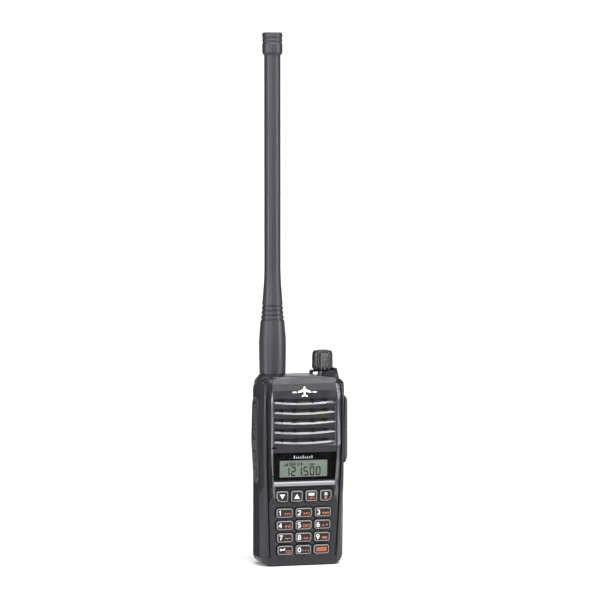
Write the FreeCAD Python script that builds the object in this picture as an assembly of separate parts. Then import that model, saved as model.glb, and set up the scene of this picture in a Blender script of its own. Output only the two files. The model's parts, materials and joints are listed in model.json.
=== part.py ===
import FreeCAD, Part
import math
import os

V = FreeCAD.Vector

# All sizes are in millimetres.  X runs across the radio, Z runs up, and the front faces -Y.
# Depths (d) are counted from the front of the central panel towards the back.
# Heights are counted from a datum LIFT above the standing surface; the export adds LIFT.
LIFT = 1.2
BASE_Z = -LIFT          # the bottom face, at datum heights
LEAN_Z = 70.0           # below this height the front falls back
LEAN = 3.0              # by this angle in degrees
FRONT_Y = -16.0         # Y of the central panel's front face
HALF_W = 26.0           # half of the body width
SHOULDER_Z = 105.5      # where the sides turn into the sloping shoulders
TOP_Z = 110.9           # crown of the top face
CORNER_R = 8.6          # bottom corner radius
WALL = 1.6              # case wall thickness
FACE_D = 0.8            # the front face lies this far behind the central panel
SPLIT_D = 19.4          # joint between front case and rear case
PLATE_D = 21.0          # back of the rear case plate behind the battery
BATT_D = 21.2           # front of the battery pack
BACK_D = 29.5           # back of the battery pack
BATT_Z = 83.4           # top of the battery pack
UPPER_BACK_D = 26.8     # back of the rear case above the battery

ANT_X = -15.7           # antenna axis
KNOB_X = 15.0           # volume control axis
TOP_D = 14.6            # depth of both axes
ANT_FOOT_Z = 112.2      # bottom of the antenna
ANT_TIP_Z = 312.9       # top of the antenna

SLOT_TOP_Z = 98.1       # top of the first loudspeaker slot
SLOT_PITCH = 5.8
SLOT_COUNT = 5
SLOT_HALF = 18.2
WIN_Z = (50.0, 66.5)    # display window, bottom and top
BAR_Z = (46.65, 49.15)  # trim bar, bottom and top

FN_X = (-13.3, -4.43, 4.43, 13.3)       # function keys
FN_Z = 40.5
FN_W = 7.1
FN_H = 6.5
PAD_Z = (30.6, 23.25, 15.85, 8.4)      # rows of the number pad
PAD_PITCH = (11.75, 11.55, 11.35, 11.1)  # the columns draw together towards the bottom
PAD_W = (10.0, 9.8, 9.6, 9.4)
PAD_H = 5.45
KEY_GAP = 0.25

PANEL_BEVEL = 0.9       # width of the bevel along the central panel's sides

GROOVE_HALF = ((108.0, 21.9), (98.0, 22.9), (62.0, 22.7), (46.0, 22.0), (4.5, 20.2))


def Y(d):
    return FRONT_Y + d


def fall(z):
    """How far the front has fallen back at height z."""
    return max(0.0, LEAN_Z - z) * math.tan(math.radians(LEAN))


def leaned(shape):
    """Turns a piece of the lower front back to the leaning plane."""
    turned = shape.copy()
    turned.rotate(V(0, Y(0), LEAN_Z), V(1, 0, 0), LEAN)
    return turned


# ---------------------------------------------------------------- shape helpers

def wire_from(points, radii, place):
    """Closed wire through 2D points; each corner may be rounded; place maps 2D to 3D."""
    count = len(points)
    corners = []
    for i in range(count):
        cur = points[i]
        prev = points[i - 1]
        nxt = points[(i + 1) % count]
        r = radii[i] if isinstance(radii, (list, tuple)) else radii
        if r <= 0:
            corners.append((cur, None, cur))
            continue
        ux, uz = prev[0] - cur[0], prev[1] - cur[1]
        vx, vz = nxt[0] - cur[0], nxt[1] - cur[1]
        lu, lv = math.hypot(ux, uz), math.hypot(vx, vz)
        ux, uz, vx, vz = ux / lu, uz / lu, vx / lv, vz / lv
        half = math.acos(max(-1.0, min(1.0, ux * vx + uz * vz))) / 2.0
        t = r / math.tan(half)
        bx, bz = ux + vx, uz + vz
        lb = math.hypot(bx, bz)
        bx, bz = bx / lb, bz / lb
        reach = r / math.sin(half) - r
        corners.append(((cur[0] + ux * t, cur[1] + uz * t),
                        (cur[0] + bx * reach, cur[1] + bz * reach),
                        (cur[0] + vx * t, cur[1] + vz * t)))
    edges = []
    for i in range(count):
        start = corners[i - 1][2]
        first, mid, last = corners[i]
        if math.hypot(first[0] - start[0], first[1] - start[1]) > 1e-6:
            edges.append(Part.LineSegment(place(*start), place(*first)).toShape())
        if mid is not None:
            edges.append(Part.Arc(place(*first), place(*mid), place(*last)).toShape())
    return Part.Wire(edges)


def prism_y(points, d0, d1, radii=0):
    """Outline in X and Z, extruded in depth."""
    wire = wire_from(points, radii, lambda x, z: V(x, Y(d0), z))
    return Part.Face(wire).extrude(V(0, d1 - d0, 0))


def prism_z(points, z0, z1, radii=0):
    """Outline in X and depth, extruded upwards."""
    wire = wire_from(points, radii, lambda x, d: V(x, Y(d), z0))
    return Part.Face(wire).extrude(V(0, 0, z1 - z0))


def prism_x(points, x0, x1, radii=0):
    """Outline in depth and Z, extruded sideways."""
    wire = wire_from(points, radii, lambda d, z: V(x0, Y(d), z))
    return Part.Face(wire).extrude(V(x1 - x0, 0, 0))


def box(x0, x1, d0, d1, z0, z1):
    return Part.makeBox(x1 - x0, d1 - d0, z1 - z0, V(x0, Y(d0), z0))


def cyl_z(x, d, r, z0, z1):
    return Part.makeCylinder(r, z1 - z0, V(x, Y(d), z0), V(0, 0, 1))


def cyl_y(x, z, r, d0, d1):
    return Part.makeCylinder(r, d1 - d0, V(x, Y(d0), z), V(0, 1, 0))


def cyl_x(d, z, r, x0, x1):
    return Part.makeCylinder(r, x1 - x0, V(x0, Y(d), z), V(1, 0, 0))


def ring_z(x, d, r_out, r_in, z0, z1):
    return cyl_z(x, d, r_out, z0, z1).cut(cyl_z(x, d, r_in, z0 - 1, z1 + 1))


def turned_z(x, d, profile):
    """Solid of revolution about a vertical axis; profile holds (radius, z)."""
    pts = [V(x + r, Y(d), z) for r, z in profile]
    face = Part.Face(Part.makePolygon(pts + [pts[0]]))
    return face.revolve(V(x, Y(d), 0), V(0, 0, 1), 360)


def turned_y(x, z, profile):
    """Solid of revolution about a front-to-back axis; profile holds (radius, depth)."""
    pts = [V(x + r, Y(d), z) for r, d in profile]
    face = Part.Face(Part.makePolygon(pts + [pts[0]]))
    return face.revolve(V(x, 0, z), V(0, 1, 0), 360)


def turned_cone(x, d, r0, r1, z0, z1):
    return Part.makeCone(r0, r1, z1 - z0, V(x, Y(d), z0), V(0, 0, 1))


def join(shapes):
    result = shapes[0]
    if len(shapes) > 1:
        result = result.multiFuse(shapes[1:])
    return result.removeSplitter()


def rect(x0, x1, z0, z1):
    return [(x0, z0), (x1, z0), (x1, z1), (x0, z1)]


def loft(wires):
    return Part.makeLoft(wires, True, True)


# ---------------------------------------------------------------- body outlines

def body_outline(inset=0.0):
    """Front view of the body, drawn in by inset: points and corner radii."""
    w = HALF_W - inset
    side = SHOULDER_Z - inset * 0.45
    edge_x = 22.5 - inset * 0.55
    edge_z = 109.6 - inset
    points = [(-w, BASE_Z + inset), (w, BASE_Z + inset), (w, side), (edge_x, edge_z),
              (0.0, TOP_Z - inset), (-edge_x, edge_z), (-w, side)]
    low = max(CORNER_R - inset, 1.0)
    radii = [low, low, 8.0 - inset, 5.0 - inset, 150.0, 5.0 - inset, 8.0 - inset]
    return points, radii


def body_prism(inset, d0, d1):
    points, radii = body_outline(inset)
    return prism_y(points, d0, d1, radii)


def groove_half(z):
    table = sorted(GROOVE_HALF)
    if z <= table[0][0]:
        return table[0][1]
    for (z0, h0), (z1, h1) in zip(table, table[1:]):
        if z <= z1:
            return h0 + (h1 - h0) * (z - z0) / (z1 - z0)
    return table[-1][1]


def rail_section(inset, z, back):
    """Plan section of the front half: flat face, two facets, then the straight side."""
    half = groove_half(z) + 0.6
    drop = fall(z)
    w = HALF_W - inset
    face = FACE_D + inset + drop
    crease = 6.4 + inset * 0.4 + drop * 0.45
    if inset > 0:
        right = [(half - 3.2, face), (half - 0.2, face + 1.5)]
    else:
        right = [(half, face), (half + 1.5, face + 1.1)]
    right += [(w - drop * 0.15, crease), (w, crease + 6.0), (w, back)]
    pts = right + [(-x, d) for x, d in reversed(right)]
    return Part.makePolygon([V(x, Y(d), z) for x, d in pts + [pts[0]]])


def rail_loft(inset, back):
    heights = (-4.0, 46.0, LEAN_Z, 113.0)
    blocks = []
    for z0, z1 in zip(heights, heights[1:]):
        blocks.append(loft([rail_section(inset, z0, back), rail_section(inset, z1, back)]))
    return blocks[0].fuse(blocks[1:])


def side_profile(front, back):
    """Side view of the front: leaning below, straight in the middle, rounded back at the top."""
    low = BASE_Z + 1.6
    return [(front + 1.3 + fall(BASE_Z), BASE_Z), (front + fall(low), low), (front, LEAN_Z), (front, 95.0),
            (front + 0.25, 99.0), (front + 0.75, 103.0), (front + 1.6, 107.0), (front + 2.5, 110.1),
            (front + 3.0, 111.6), (back, 111.6), (back, BASE_Z)]


def panel_outline(inset=0.0):
    half = [(19.0, 109.9), (20.3, 97.0), (20.3, 65.0), (19.9, 60.0), (19.1, 48.0), (18.5, 37.4)]
    right = [(x - inset, z) for x, z in half[:-1]] + [(half[-1][0] - inset, half[-1][1] + inset)]
    left = [(-x, z) for x, z in reversed(right)]
    top = [(0.0, 112.5)]
    points = top + right + left
    n = len(right)
    radii = [0.0] + [0.0] + [18.0] + [12.0] + [12.0] + [0.0] + [max(4.2 - inset, 0.5)]
    radii = radii[:n + 1]
    radii = radii + list(reversed(radii[1:]))
    return points, radii


# ---------------------------------------------------------------- key geometry

def pad_keys():
    """Name, outline points, corner radii, face depth for each of the sixteen keys."""
    keys = []
    names = ["down", "up", "recall", "clear"]
    for i, name in enumerate(names):
        x = FN_X[i]
        pts = rect(x - FN_W / 2, x + FN_W / 2, FN_Z - FN_H / 2, FN_Z + FN_H / 2)
        radii = [1.3, 1.3, 1.3, 1.3]
        if i == 0:
            radii[0] = 3.0
        if i == 3:
            radii[1] = 3.0
        keys.append(("key_" + name, pts, radii))
    labels = [["1", "2", "3"], ["4", "5", "6"], ["7", "8", "9"], ["enter", "0", "func"]]
    for row in range(4):
        for col in range(3):
            x = (col - 1) * PAD_PITCH[row]
            w = PAD_W[row]
            z = PAD_Z[row]
            pts = rect(x - w / 2, x + w / 2, z - PAD_H / 2, z + PAD_H / 2)
            keys.append(("key_" + labels[row][col], pts, [1.4] * 4))
    return keys


def grown(points, amount):
    """Axis-aligned rectangle grown by amount on every side."""
    (x0, z0), (x1, z1) = points[0], points[2]
    return rect(x0 - amount, x1 + amount, z0 - amount, z1 + amount)


def outline_wire(points, radii, d):
    return wire_from(points, radii, lambda x, z: V(x, Y(d), z))


def key_hole(points, radii, face):
    """Opening for one key: straight bore with a bevelled pit at the face."""
    bore = prism_y(grown(points, KEY_GAP), face - 1, 3.4, [r + KEY_GAP for r in radii])
    pit = loft([outline_wire(grown(points, KEY_GAP + 0.75), [r + KEY_GAP + 0.75 for r in radii], face - 0.01),
                outline_wire(grown(points, KEY_GAP + 0.1), [r + KEY_GAP + 0.1 for r in radii], face + 0.5)])
    return bore.fuse(pit)


def make_key(points, radii, face):
    """Key cap with a bevelled crown and a flange that holds it behind the case wall."""
    top = face - 0.85
    stem = prism_y(points, top + 0.35, 2.7, radii)
    crown = loft([outline_wire(grown(points, -0.4), [r - 0.4 for r in radii], top),
                  outline_wire(points, radii, top + 0.35)])
    flange = prism_y(grown(points, 0.65), 2.6, 3.15, [r + 0.3 for r in radii])
    return leaned(join([crown, stem, flange]))


# ---------------------------------------------------------------- front case

def slot_cutter(z_top):
    """One loudspeaker slot: straight top, smiling lower edge with a bevelled lip."""
    def outline(drop, d):
        end_low = z_top - 1.35 - drop
        mid_low = z_top - 2.40 - drop
        h = SLOT_HALF + drop * 0.3
        top = z_top
        edges = [Part.LineSegment(V(-h, Y(d), end_low), V(-h, Y(d), top)).toShape(),
                 Part.LineSegment(V(-h, Y(d), top), V(h, Y(d), top)).toShape(),
                 Part.LineSegment(V(h, Y(d), top), V(h, Y(d), end_low)).toShape(),
                 Part.Arc(V(h, Y(d), end_low), V(0, Y(d), mid_low), V(-h, Y(d), end_low)).toShape()]
        return Part.Wire(edges)
    deep = Part.Face(outline(0.0, -1.0)).extrude(V(0, 6, 0))
    lip = loft([outline(1.4, -0.2), outline(0.0, 0.8)])
    reach = [(-SLOT_HALF - 0.5, -1.0), (-SLOT_HALF - 0.5, 1.3), (13.2, 1.3), (SLOT_HALF + 0.4, 0.2),
             (SLOT_HALF + 0.4, -1.0)]
    pocket = deep.common(prism_z(reach, z_top - 6, z_top + 1))
    openings = []
    for x0, x1 in ((-17.6, -13.4), (-12.9, -5.5), (-4.5, 5.1), (6.1, 13.0)):
        openings.append(deep.common(box(x0, x1, 0.5, 3.0, z_top - 6, z_top + 1)))
    return join([pocket, lip.common(prism_z(reach, z_top - 6, z_top + 1))] + openings)


def side_outline(d0, d1, z0, z1):
    return [(d0, z0), (d1, z0), (d1, z1), (d0, z1)]


def front_case():
    base = body_prism(0.0, FACE_D, SPLIT_D)
    base = base.common(rail_loft(0.0, SPLIT_D))
    base = base.common(prism_x(side_profile(FACE_D, SPLIT_D), -30, 30))
    base = base.cut([side_strip(-1), side_strip(1)])
    base = base.fuse(central_panel())
    inner = body_prism(WALL, FACE_D + WALL, SPLIT_D + 1)
    inner = inner.common(rail_loft(WALL, SPLIT_D + 1))
    hollow = [(2.4 + fall(-3.0), -3.0), (2.4, LEAN_Z), (2.4, 98), (3.2, 103), (4.4, 107), (6.0, 110.5), (30, 110.5),
              (30, -3.0)]
    inner = inner.common(prism_x(hollow, -30, 30))
    base = base.cut(inner)
    crest = top_crest(9.0, SPLIT_D).common(prism_x([(8.5, 111.5), (8.5, 110.8), (9.6, 109.5), (25, 109.5), (25, 111.5)],
                                                   -30, 30))
    adds = [antenna_boss(), knob_boss(), crest] + cover_lugs()
    base = base.fuse(adds)
    cuts = [cyl_z(ANT_X, TOP_D, 4.15, 100, 120), cyl_z(KNOB_X, TOP_D, 3.5, 100, 120)]
    for side in (-1, 1):
        cuts += groove(side)
    for i in range(SLOT_COUNT):
        cuts.append(slot_cutter(SLOT_TOP_Z - i * SLOT_PITCH))
    cuts += [leaned(c) for c in front_openings()]
    cuts.append(prism_y(rect(-20.1, -17.2, 68.9, 70.0), -1.0, 3.4, 0.5))
    cuts.append(prism_x(side_outline(7.6, 18.6, 73.0, 96.4), -31, -24.0, 5.0))
    cuts.append(prism_x(side_outline(8.9, 17.7, 60.6, 67.5), -31, -24.0, 1.9))
    cuts.append(prism_x(side_outline(8.9, 17.7, 51.0, 57.4), -31, -24.0, 1.9))
    cuts.append(prism_x(side_outline(8.0, 14.6, 66.6, 92.4), 23.0, 31.0, 1.0))
    return base.cut(cuts).removeSplitter()


def front_openings():
    """Openings in the leaning part: keys, display window, trim bar and the dished function key field."""
    cuts = []
    for name, kpts, kradii in pad_keys():
        face = 0.65 if kpts[0][1] > 37 else FACE_D
        cuts.append(key_hole(kpts, kradii, face))
    cuts.append(prism_y([(-18.8, WIN_Z[0]), (18.8, WIN_Z[0]), (19.4, WIN_Z[1]), (-19.4, WIN_Z[1])], -1.0, 1.35, 0.6))
    cuts.append(prism_y(rect(-17.4, 17.4, 51.3, 65.3), 0, 3.4, 1.0))
    cuts.append(prism_y(rect(-18.65, 18.65, BAR_Z[0], BAR_Z[1]), -1.0, 1.0, 0.4))
    cuts.append(prism_y([(-17.2, 38.2), (17.2, 38.2), (17.6, 46.2), (-17.6, 46.2)], -1.0, 0.65,
                        [3.5, 3.5, 0.5, 0.5]))
    return cuts


def side_strip(side):
    """Wedge taken off between the central panel and the groove, so that the strip there slopes outwards."""
    wires = []
    for z, edge, drop in ((113.0, 19.6, 1.0), (97.0, 20.2, 1.0), (LEAN_Z, 20.2, 1.0), (48.0, 19.0, 0.8),
                          (36.0, 18.4, 0.05)):
        face = FACE_D + fall(z)
        out = groove_half(z) + 0.4
        pts = [(edge, face), (out, face + drop), (out, -2.0), (edge, -2.0)]
        wires.append(Part.makePolygon([V(side * x, Y(d), z) for x, d in pts + [pts[0]]]))
    blocks = [loft([a, b]) for a, b in zip(wires, wires[1:])]
    return blocks[0].fuse(blocks[1:])


def central_panel():
    """Raised panel with bevelled sides; its top leans back with the rest of the front."""
    wide, wide_radii = panel_outline()
    narrow, narrow_radii = panel_outline(PANEL_BEVEL)
    crown = loft([outline_wire(narrow, narrow_radii, 0.0), outline_wire(wide, wide_radii, FACE_D + 0.05)])
    lean = loft([outline_wire(narrow, narrow_radii, 0.6), outline_wire(wide, wide_radii, 1.45)])
    foot = prism_y(wide, FACE_D + 0.05, 2.4, wide_radii)
    top = box(-30, 30, -1, 12, 95.0, 113)
    low = box(-30, 30, -1, 12, -3.0, LEAN_Z)
    body = crown.fuse(foot).cut(top)
    lower = leaned(body.common(low.fuse(box(-30, 30, -1, 12, LEAN_Z - 1, LEAN_Z + 0.15))))
    high = lean.fuse([crown, foot, prism_y(narrow, 0.6, 4.0, narrow_radii), prism_y(wide, 1.4, 5.5, wide_radii)])
    high = high.common(top)
    panel = body.cut(low).fuse([lower, high])
    return panel.common(prism_x(side_profile(0.0, 12.0), -30, 30))


def groove(side):
    """Narrow channel between the front face and the side rail: an upright part and a leaning part."""
    shapes = []
    for z0, z1, depth in ((LEAN_Z, 108.0, 2.2), (36.0, LEAN_Z + 0.2, 2.2), (4.0, 36.2, 1.75)):
        heights = [z0] + [z for z, h in sorted(GROOVE_HALF) if z0 < z < z1] + [z1]
        inner = [(side * (groove_half(z) - 0.45), z) for z in heights]
        outer = [(side * (groove_half(z) + 0.45), z) for z in reversed(heights)]
        shape = prism_y(inner + outer, -1.0, depth)
        shapes.append(shape if z0 == LEAN_Z else leaned(shape))
    return shapes


def antenna_boss():
    low = turned_cone(ANT_X, TOP_D, 9.9, 9.0, 104.0, 110.3)
    high = turned_cone(ANT_X, TOP_D, 9.0, 8.1, 110.3, 111.9)
    flare = turned_cone(ANT_X, TOP_D, 11.6, 8.1, 110.3, 111.9).common(box(-20, 0, 3.9, SPLIT_D, 100, 113))
    whole = low.fuse([high, flare]).common(box(-30, 0, 3.9, SPLIT_D, 100, 113))
    return whole.cut(body_prism(WALL, -5, 40))


def knob_boss():
    """Raised block beside the volume control with a guard wall on its outer side."""
    pts = [(13.5, 108.6), (13.5, 112.2), (14.6, 113.1), (20.7, 113.1), (21.8, 115.0), (23.0, 115.0), (24.4, 107.0)]
    boss = prism_y(pts, 8.0, SPLIT_D, [0, 0.8, 0.8, 0, 0.4, 0.4, 0])
    boss = boss.common(turned_cone(KNOB_X, TOP_D, 10.8, 8.6, 106.0, 115.4))
    boss = boss.cut(cyl_z(KNOB_X, TOP_D, 6.75, 113.1, 120.0))
    return boss.cut(body_prism(WALL, -5, 40))


HINGE_X = 27.1          # jack cover hinge axis
HINGE_D = 16.9


def cover_lugs():
    lugs = []
    for z0, z1 in ((60.0, 62.0), (96.0, 98.0)):
        block = box(25.2, HINGE_X, HINGE_D - 0.95, HINGE_D + 0.95, z0, z1)
        lug = block.fuse(cyl_z(HINGE_X, HINGE_D, 0.95, z0, z1))
        lugs.append(lug.cut(cyl_z(HINGE_X, HINGE_D, 0.56, z0 - 1, z1 + 1)))
    return lugs


# ---------------------------------------------------------------- rear case, seal, small body parts

def rear_section(z0, z1, back):
    pts = [(-25.9, SPLIT_D), (-25.2, 21.2), (-24.3, 24.0), (-21.8, back), (21.8, back), (24.3, 24.0),
           (25.2, 21.2), (25.9, SPLIT_D), (25.9, 10.0), (-25.9, 10.0)]
    return prism_z(pts, z0, z1)


def top_crest(d0, d1):
    """Low flat crest along the middle of the top face."""
    return prism_y([(-16.5, 107.5), (-12.6, 111.3), (9.5, 111.3), (10.9, 110.0), (10.9, 107.5)], d0, d1)


def rear_case():
    plate = body_prism(0.0, SPLIT_D, PLATE_D)
    block = body_prism(0.0, SPLIT_D, UPPER_BACK_D).common(rear_section(84.0, 113.0, UPPER_BACK_D))
    slope = prism_x([(18, 84), (24.6, 84), (UPPER_BACK_D, 86.4), (UPPER_BACK_D, 107.5), (24.2, 112.5), (18, 112.5)],
                    -30, 30)
    block = block.fuse(top_crest(SPLIT_D, UPPER_BACK_D)).common(slope)
    case = plate.fuse(block)
    lip = body_prism(2.75, 17.4, SPLIT_D).cut(body_prism(3.95, 17, SPLIT_D + 1))
    lip = lip.cut([cyl_z(ANT_X, TOP_D, 5.6, 100, 112), box(8.6, 22.0, 7, 19.4, 102.0, 112),
                   box(-26, -20.4, 17, 19.4, 49, 97.5)])
    case = case.fuse(lip)
    cavity = body_prism(4.0, SPLIT_D - 0.5, 25.0).common(box(-21, 21, SPLIT_D - 1, 25.0, 86.0, 108.0))
    case = case.cut(cavity)
    cuts = []
    for side in (-1, 1):
        x0, x1 = sorted((side * 19.2, side * 21.0))
        cuts.append(box(x0, x1, 19.95, 22.0, -3.0, 70.4))
    cuts.append(box(-7.4, 7.4, 19.9, 22.0, 3.2, 8.4))
    for x in (-12.0, -4.0, 4.0, 12.0):
        cuts.append(box(x - 1.6, x + 1.6, 19.9, 22.0, 12.0, 20.0))
    for x, z in SCREW_SPOTS:
        cuts.append(cyl_y(x, z, 2.3, UPPER_BACK_D - 1.6, 30))
        cuts.append(cyl_y(x, z, 1.1, 20, 30))
    for x in (-CLIP_SCREW_X, CLIP_SCREW_X):
        cuts.append(cyl_y(x, CLIP_SCREW_Z, 1.25, 22.0, 30))
    return case.cut(cuts).removeSplitter()


SCREW_SPOTS = ((-19.0, 103.5), (19.0, 103.5))
CLIP_SCREW_Z = 93.0
CLIP_SCREW_X = 6.0


def case_seal():
    outer = body_prism(1.65, 18.75, 19.35)
    return outer.cut(body_prism(2.7, 17, 20))


def case_screws():
    shapes = []
    for x, z in SCREW_SPOTS:
        head = cyl_y(x, z, 2.1, UPPER_BACK_D - 1.55, UPPER_BACK_D - 0.05)
        head = head.cut(prism_y(rect(x - 1.5, x + 1.5, z - 0.25, z + 0.25), UPPER_BACK_D - 0.7, UPPER_BACK_D + 1))
        head = head.cut(prism_y(rect(x - 0.25, x + 0.25, z - 1.5, z + 1.5), UPPER_BACK_D - 0.7, UPPER_BACK_D + 1))
        shapes.append(head.fuse(cyl_y(x, z, 1.0, 20.3, UPPER_BACK_D - 1.5)))
    return Part.makeCompound(shapes)


def strap_loop():
    """Wrist strap loop standing on the back of the top face."""
    outer = prism_y([(9.4, 109.4), (18.2, 109.4), (18.2, 112.8), (17.7, 113.4), (9.9, 113.4), (9.4, 112.8)],
                    21.3, 23.7, [0, 0, 0.3, 0.4, 0.4, 0.3])
    gap = prism_y(rect(11.1, 16.6, 108.0, 112.1), 19.0, 25.0, [0, 0, 0.4, 0.4])
    loop = outer.cut(gap)
    return loop.cut(rear_case_solid_top())


def rear_case_solid_top():
    keep = body_prism(0.0, SPLIT_D, UPPER_BACK_D).fuse(top_crest(SPLIT_D, UPPER_BACK_D))
    return keep.common(box(-30, 30, SPLIT_D, UPPER_BACK_D, 90, 113))


# ---------------------------------------------------------------- display and trim

def display_window():
    low, high = WIN_Z[0] + 0.1, WIN_Z[1] - 0.1
    pane = prism_y([(-18.7, low), (18.7, low), (19.3, high), (-19.3, high)], 0.1, 1.3, 0.55)
    return leaned(pane)


def lcd_glass():
    glass = prism_y(rect(-16.8, 16.8, 51.6, 65.0), 1.55, 2.75, 0.3)
    frame = prism_y(rect(-17.0, 17.0, 51.5, 65.1), 2.75, 4.2, 0.3)
    return leaned(glass.fuse(frame))


def trim_bar():
    mid = (BAR_Z[0] + BAR_Z[1]) / 2
    pts = [(1.0, BAR_Z[0] + 0.05), (0.1, BAR_Z[0] + 0.05), (-0.05, BAR_Z[0] + 0.25), (0.0, mid - 0.2),
           (-0.35, mid - 0.05), (-0.4, BAR_Z[1] - 0.5), (-0.1, BAR_Z[1] - 0.05), (1.0, BAR_Z[1] - 0.05)]
    bar = prism_x(pts, -18.6, 18.6)
    ends = prism_y(rect(-18.6, 18.6, BAR_Z[0], BAR_Z[1]), -1, 2, 0.4)
    return leaned(bar.common(ends))


# ---------------------------------------------------------------- loudspeaker, microphone, boards

SPK_Z = 85.0


def speaker_net():
    return prism_y(rect(-17.9, 17.9, 71.75, 98.0), 2.45, 2.8, 2.0)


def speaker_frame():
    basket = turned_y(0, SPK_Z, [(0, 6.2), (9.2, 6.2), (9.2, 8.2), (0, 8.2)])
    shell = turned_y(0, SPK_Z, [(15.6, 3.3), (17.0, 3.3), (17.0, 4.5), (11.0, 6.4), (0, 6.4), (0, 5.8),
                                (10.4, 5.8), (15.6, 4.3)])
    return basket.fuse(shell).removeSplitter()


def speaker_cone():
    profile = [(0, 3.85), (4.4, 4.75), (13.6, 3.6), (14.5, 3.35), (15.4, 3.65), (15.4, 3.95), (14.5, 3.75),
               (13.6, 3.95), (4.4, 5.15), (0, 4.25)]
    return turned_y(0, SPK_Z, profile)


def microphone():
    capsule = cyl_y(-18.1, 69.4, 2.0, 2.75, 4.9)
    return capsule.fuse(cyl_y(-18.1, 69.4, 1.2, 2.45, 2.75))


def key_domes():
    shapes = []
    for name, pts, radii in pad_keys():
        x = (pts[0][0] + pts[2][0]) / 2
        z = (pts[0][1] + pts[2][1]) / 2
        profile = [(0, 3.7), (0.9, 3.75), (1.7, 4.0), (2.2, 4.4), (2.4, 4.8), (2.4, 5.6), (0, 5.6)]
        shapes.append(leaned(turned_y(x, z, profile)))
    return Part.makeCompound(shapes)


def logic_board():
    return leaned(prism_y(rect(-20.2, 20.2, 3.4, 66.6), 5.6, 6.8, 3.0))


def main_board():
    board = prism_y(rect(-19.8, 19.8, 6.0, 101.0), 15.6, 16.8, 1.5)
    shapes = [board]
    for x0, x1, z0, z1 in ((-17, -3, 70, 98), (0, 16, 74, 96), (-16, 16, 40, 62), (-16, 2, 12, 34)):
        shapes.append(box(x0, x1, 14.6, 15.6, z0, z1))
    return join(shapes)


def side_switches():
    board = box(-21.2, -20.2, 8.8, 15.2, 50.5, 95.0)
    shapes = [board]
    for z in (80.0, 90.0, 64.05, 54.2):
        shapes.append(box(-22.0, -21.2, 11.2, 15.0, z - 1.9, z + 1.9))
    return join(shapes)


JACKS = ((73.6, 1.8), (86.2, 1.3))      # height and bore radius of the two sockets
JACK_D = 11.3
JACK_LEN = 12.0


def audio_jacks():
    block = prism_x(side_outline(8.2, 14.4, 66.8, 92.2), 13.0, 25.4, 0.9)
    lip = []
    for z, r in JACKS:
        lip.append(cyl_x(JACK_D, z, r + 1.1, 25.0, 25.8))
    block = block.fuse(lip)
    cuts = []
    for z, r in JACKS:
        cuts.append(cyl_x(JACK_D, z, r, 25.8 - JACK_LEN, 30))
    return block.cut(cuts)


# ---------------------------------------------------------------- side controls

def side_bezel():
    """Raised pad around the transmit bar and the two side keys."""
    pad = prism_x(side_outline(6.7, 19.2, 47.8, 98.8), -28.0, -25.0, [5.8, 5.0, 5.0, 5.8])
    wedge = prism_y([(-26.02, 47.0), (-26.1, 48.0), (-26.25, 50.0), (-27.5, 72.4), (-27.5, 73.4), (-26.9, 97.0),
                     (-26.02, 99.0)], 5, 21)
    pad = pad.common(wedge)
    cuts = [prism_x(side_outline(7.9, 18.4, 73.3, 96.2), -31, -24, 4.9),
            prism_x(side_outline(9.1, 17.5, 60.8, 67.3), -31, -24, 1.7),
            prism_x(side_outline(9.1, 17.5, 51.2, 57.2), -31, -24, 1.7)]
    return pad.cut(cuts)


def ptt_button():
    stem = prism_x(side_outline(8.4, 17.9, 73.8, 95.7), -26.2, -23.9, 4.5)
    crown = loft([wire_from(side_outline(9.3, 17.2, 74.7, 94.8), 3.7, lambda d, z: V(-26.95, Y(d), z)),
                  wire_from(side_outline(8.4, 17.9, 73.8, 95.7), 4.5, lambda d, z: V(-26.2, Y(d), z))])
    flange = prism_x(side_outline(7.0, 18.6, 72.4, 97.0), -24.05, -23.3, 3.0)
    button = join([stem, crown, flange])
    cuts = []
    for i in range(6):
        z = 93.2 - i * 2.5
        cuts.append(prism_y([(-27.4, z - 0.35), (-27.4, z + 0.35), (-26.6, z)], 5, 22))
    button = button.cut(cuts)
    return button.cut(box(-24.2, -23.2, 17.3, 19.0, 60, 100))


def side_key(z0, z1, proud):
    stem = prism_x(side_outline(9.4, 17.2, z0, z1), -proud + 0.35, -23.9, 1.4)
    crown = loft([wire_from(side_outline(9.8, 16.8, z0 + 0.4, z1 - 0.4), 1.0, lambda d, z: V(-proud, Y(d), z)),
                  wire_from(side_outline(9.4, 17.2, z0, z1), 1.4, lambda d, z: V(-proud + 0.35, Y(d), z))])
    flange = prism_x(side_outline(8.5, 17.2, z0 - 0.9, z1 + 0.9), -24.05, -23.3, 0.8)
    return join([stem, crown, flange])


def jack_cover():
    pts = [(26.15, 99.0), (26.15, 58.8), (26.6, 58.8), (28.3, 61.6), (28.6, 63.0), (28.6, 77.8), (28.2, 78.4),
           (28.6, 79.0), (28.55, 95.6), (27.8, 97.6), (26.6, 99.0)]
    plate = prism_y(pts, 6.5, 15.4)
    corners = prism_x(side_outline(6.5, 15.4, 58.6, 99.2), 20, 30, [2.5, 0.8, 0.8, 2.5])
    plate = plate.common(corners)
    taper = prism_z([(20, 5), (26.7, 6.3), (28.6, 8.2), (28.6, 14.6), (27.8, 15.6), (20, 15.6)], 50, 110)
    plate = plate.common(taper)
    web = box(26.4, 27.8, 15.2, HINGE_D, 62.4, 95.6)
    barrel = cyl_z(HINGE_X, HINGE_D, 0.85, 62.2, 95.8)
    pins = [cyl_z(HINGE_X, HINGE_D, 0.5, 60.2, 62.4), cyl_z(HINGE_X, HINGE_D, 0.5, 95.6, 97.8)]
    ribs = [box(28.3, 28.8, 9.2, 13.6, z, z + 0.7) for z in (90.2, 92.0, 93.8)]
    return join([plate, web, barrel] + pins + ribs)


# ---------------------------------------------------------------- volume control

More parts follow.
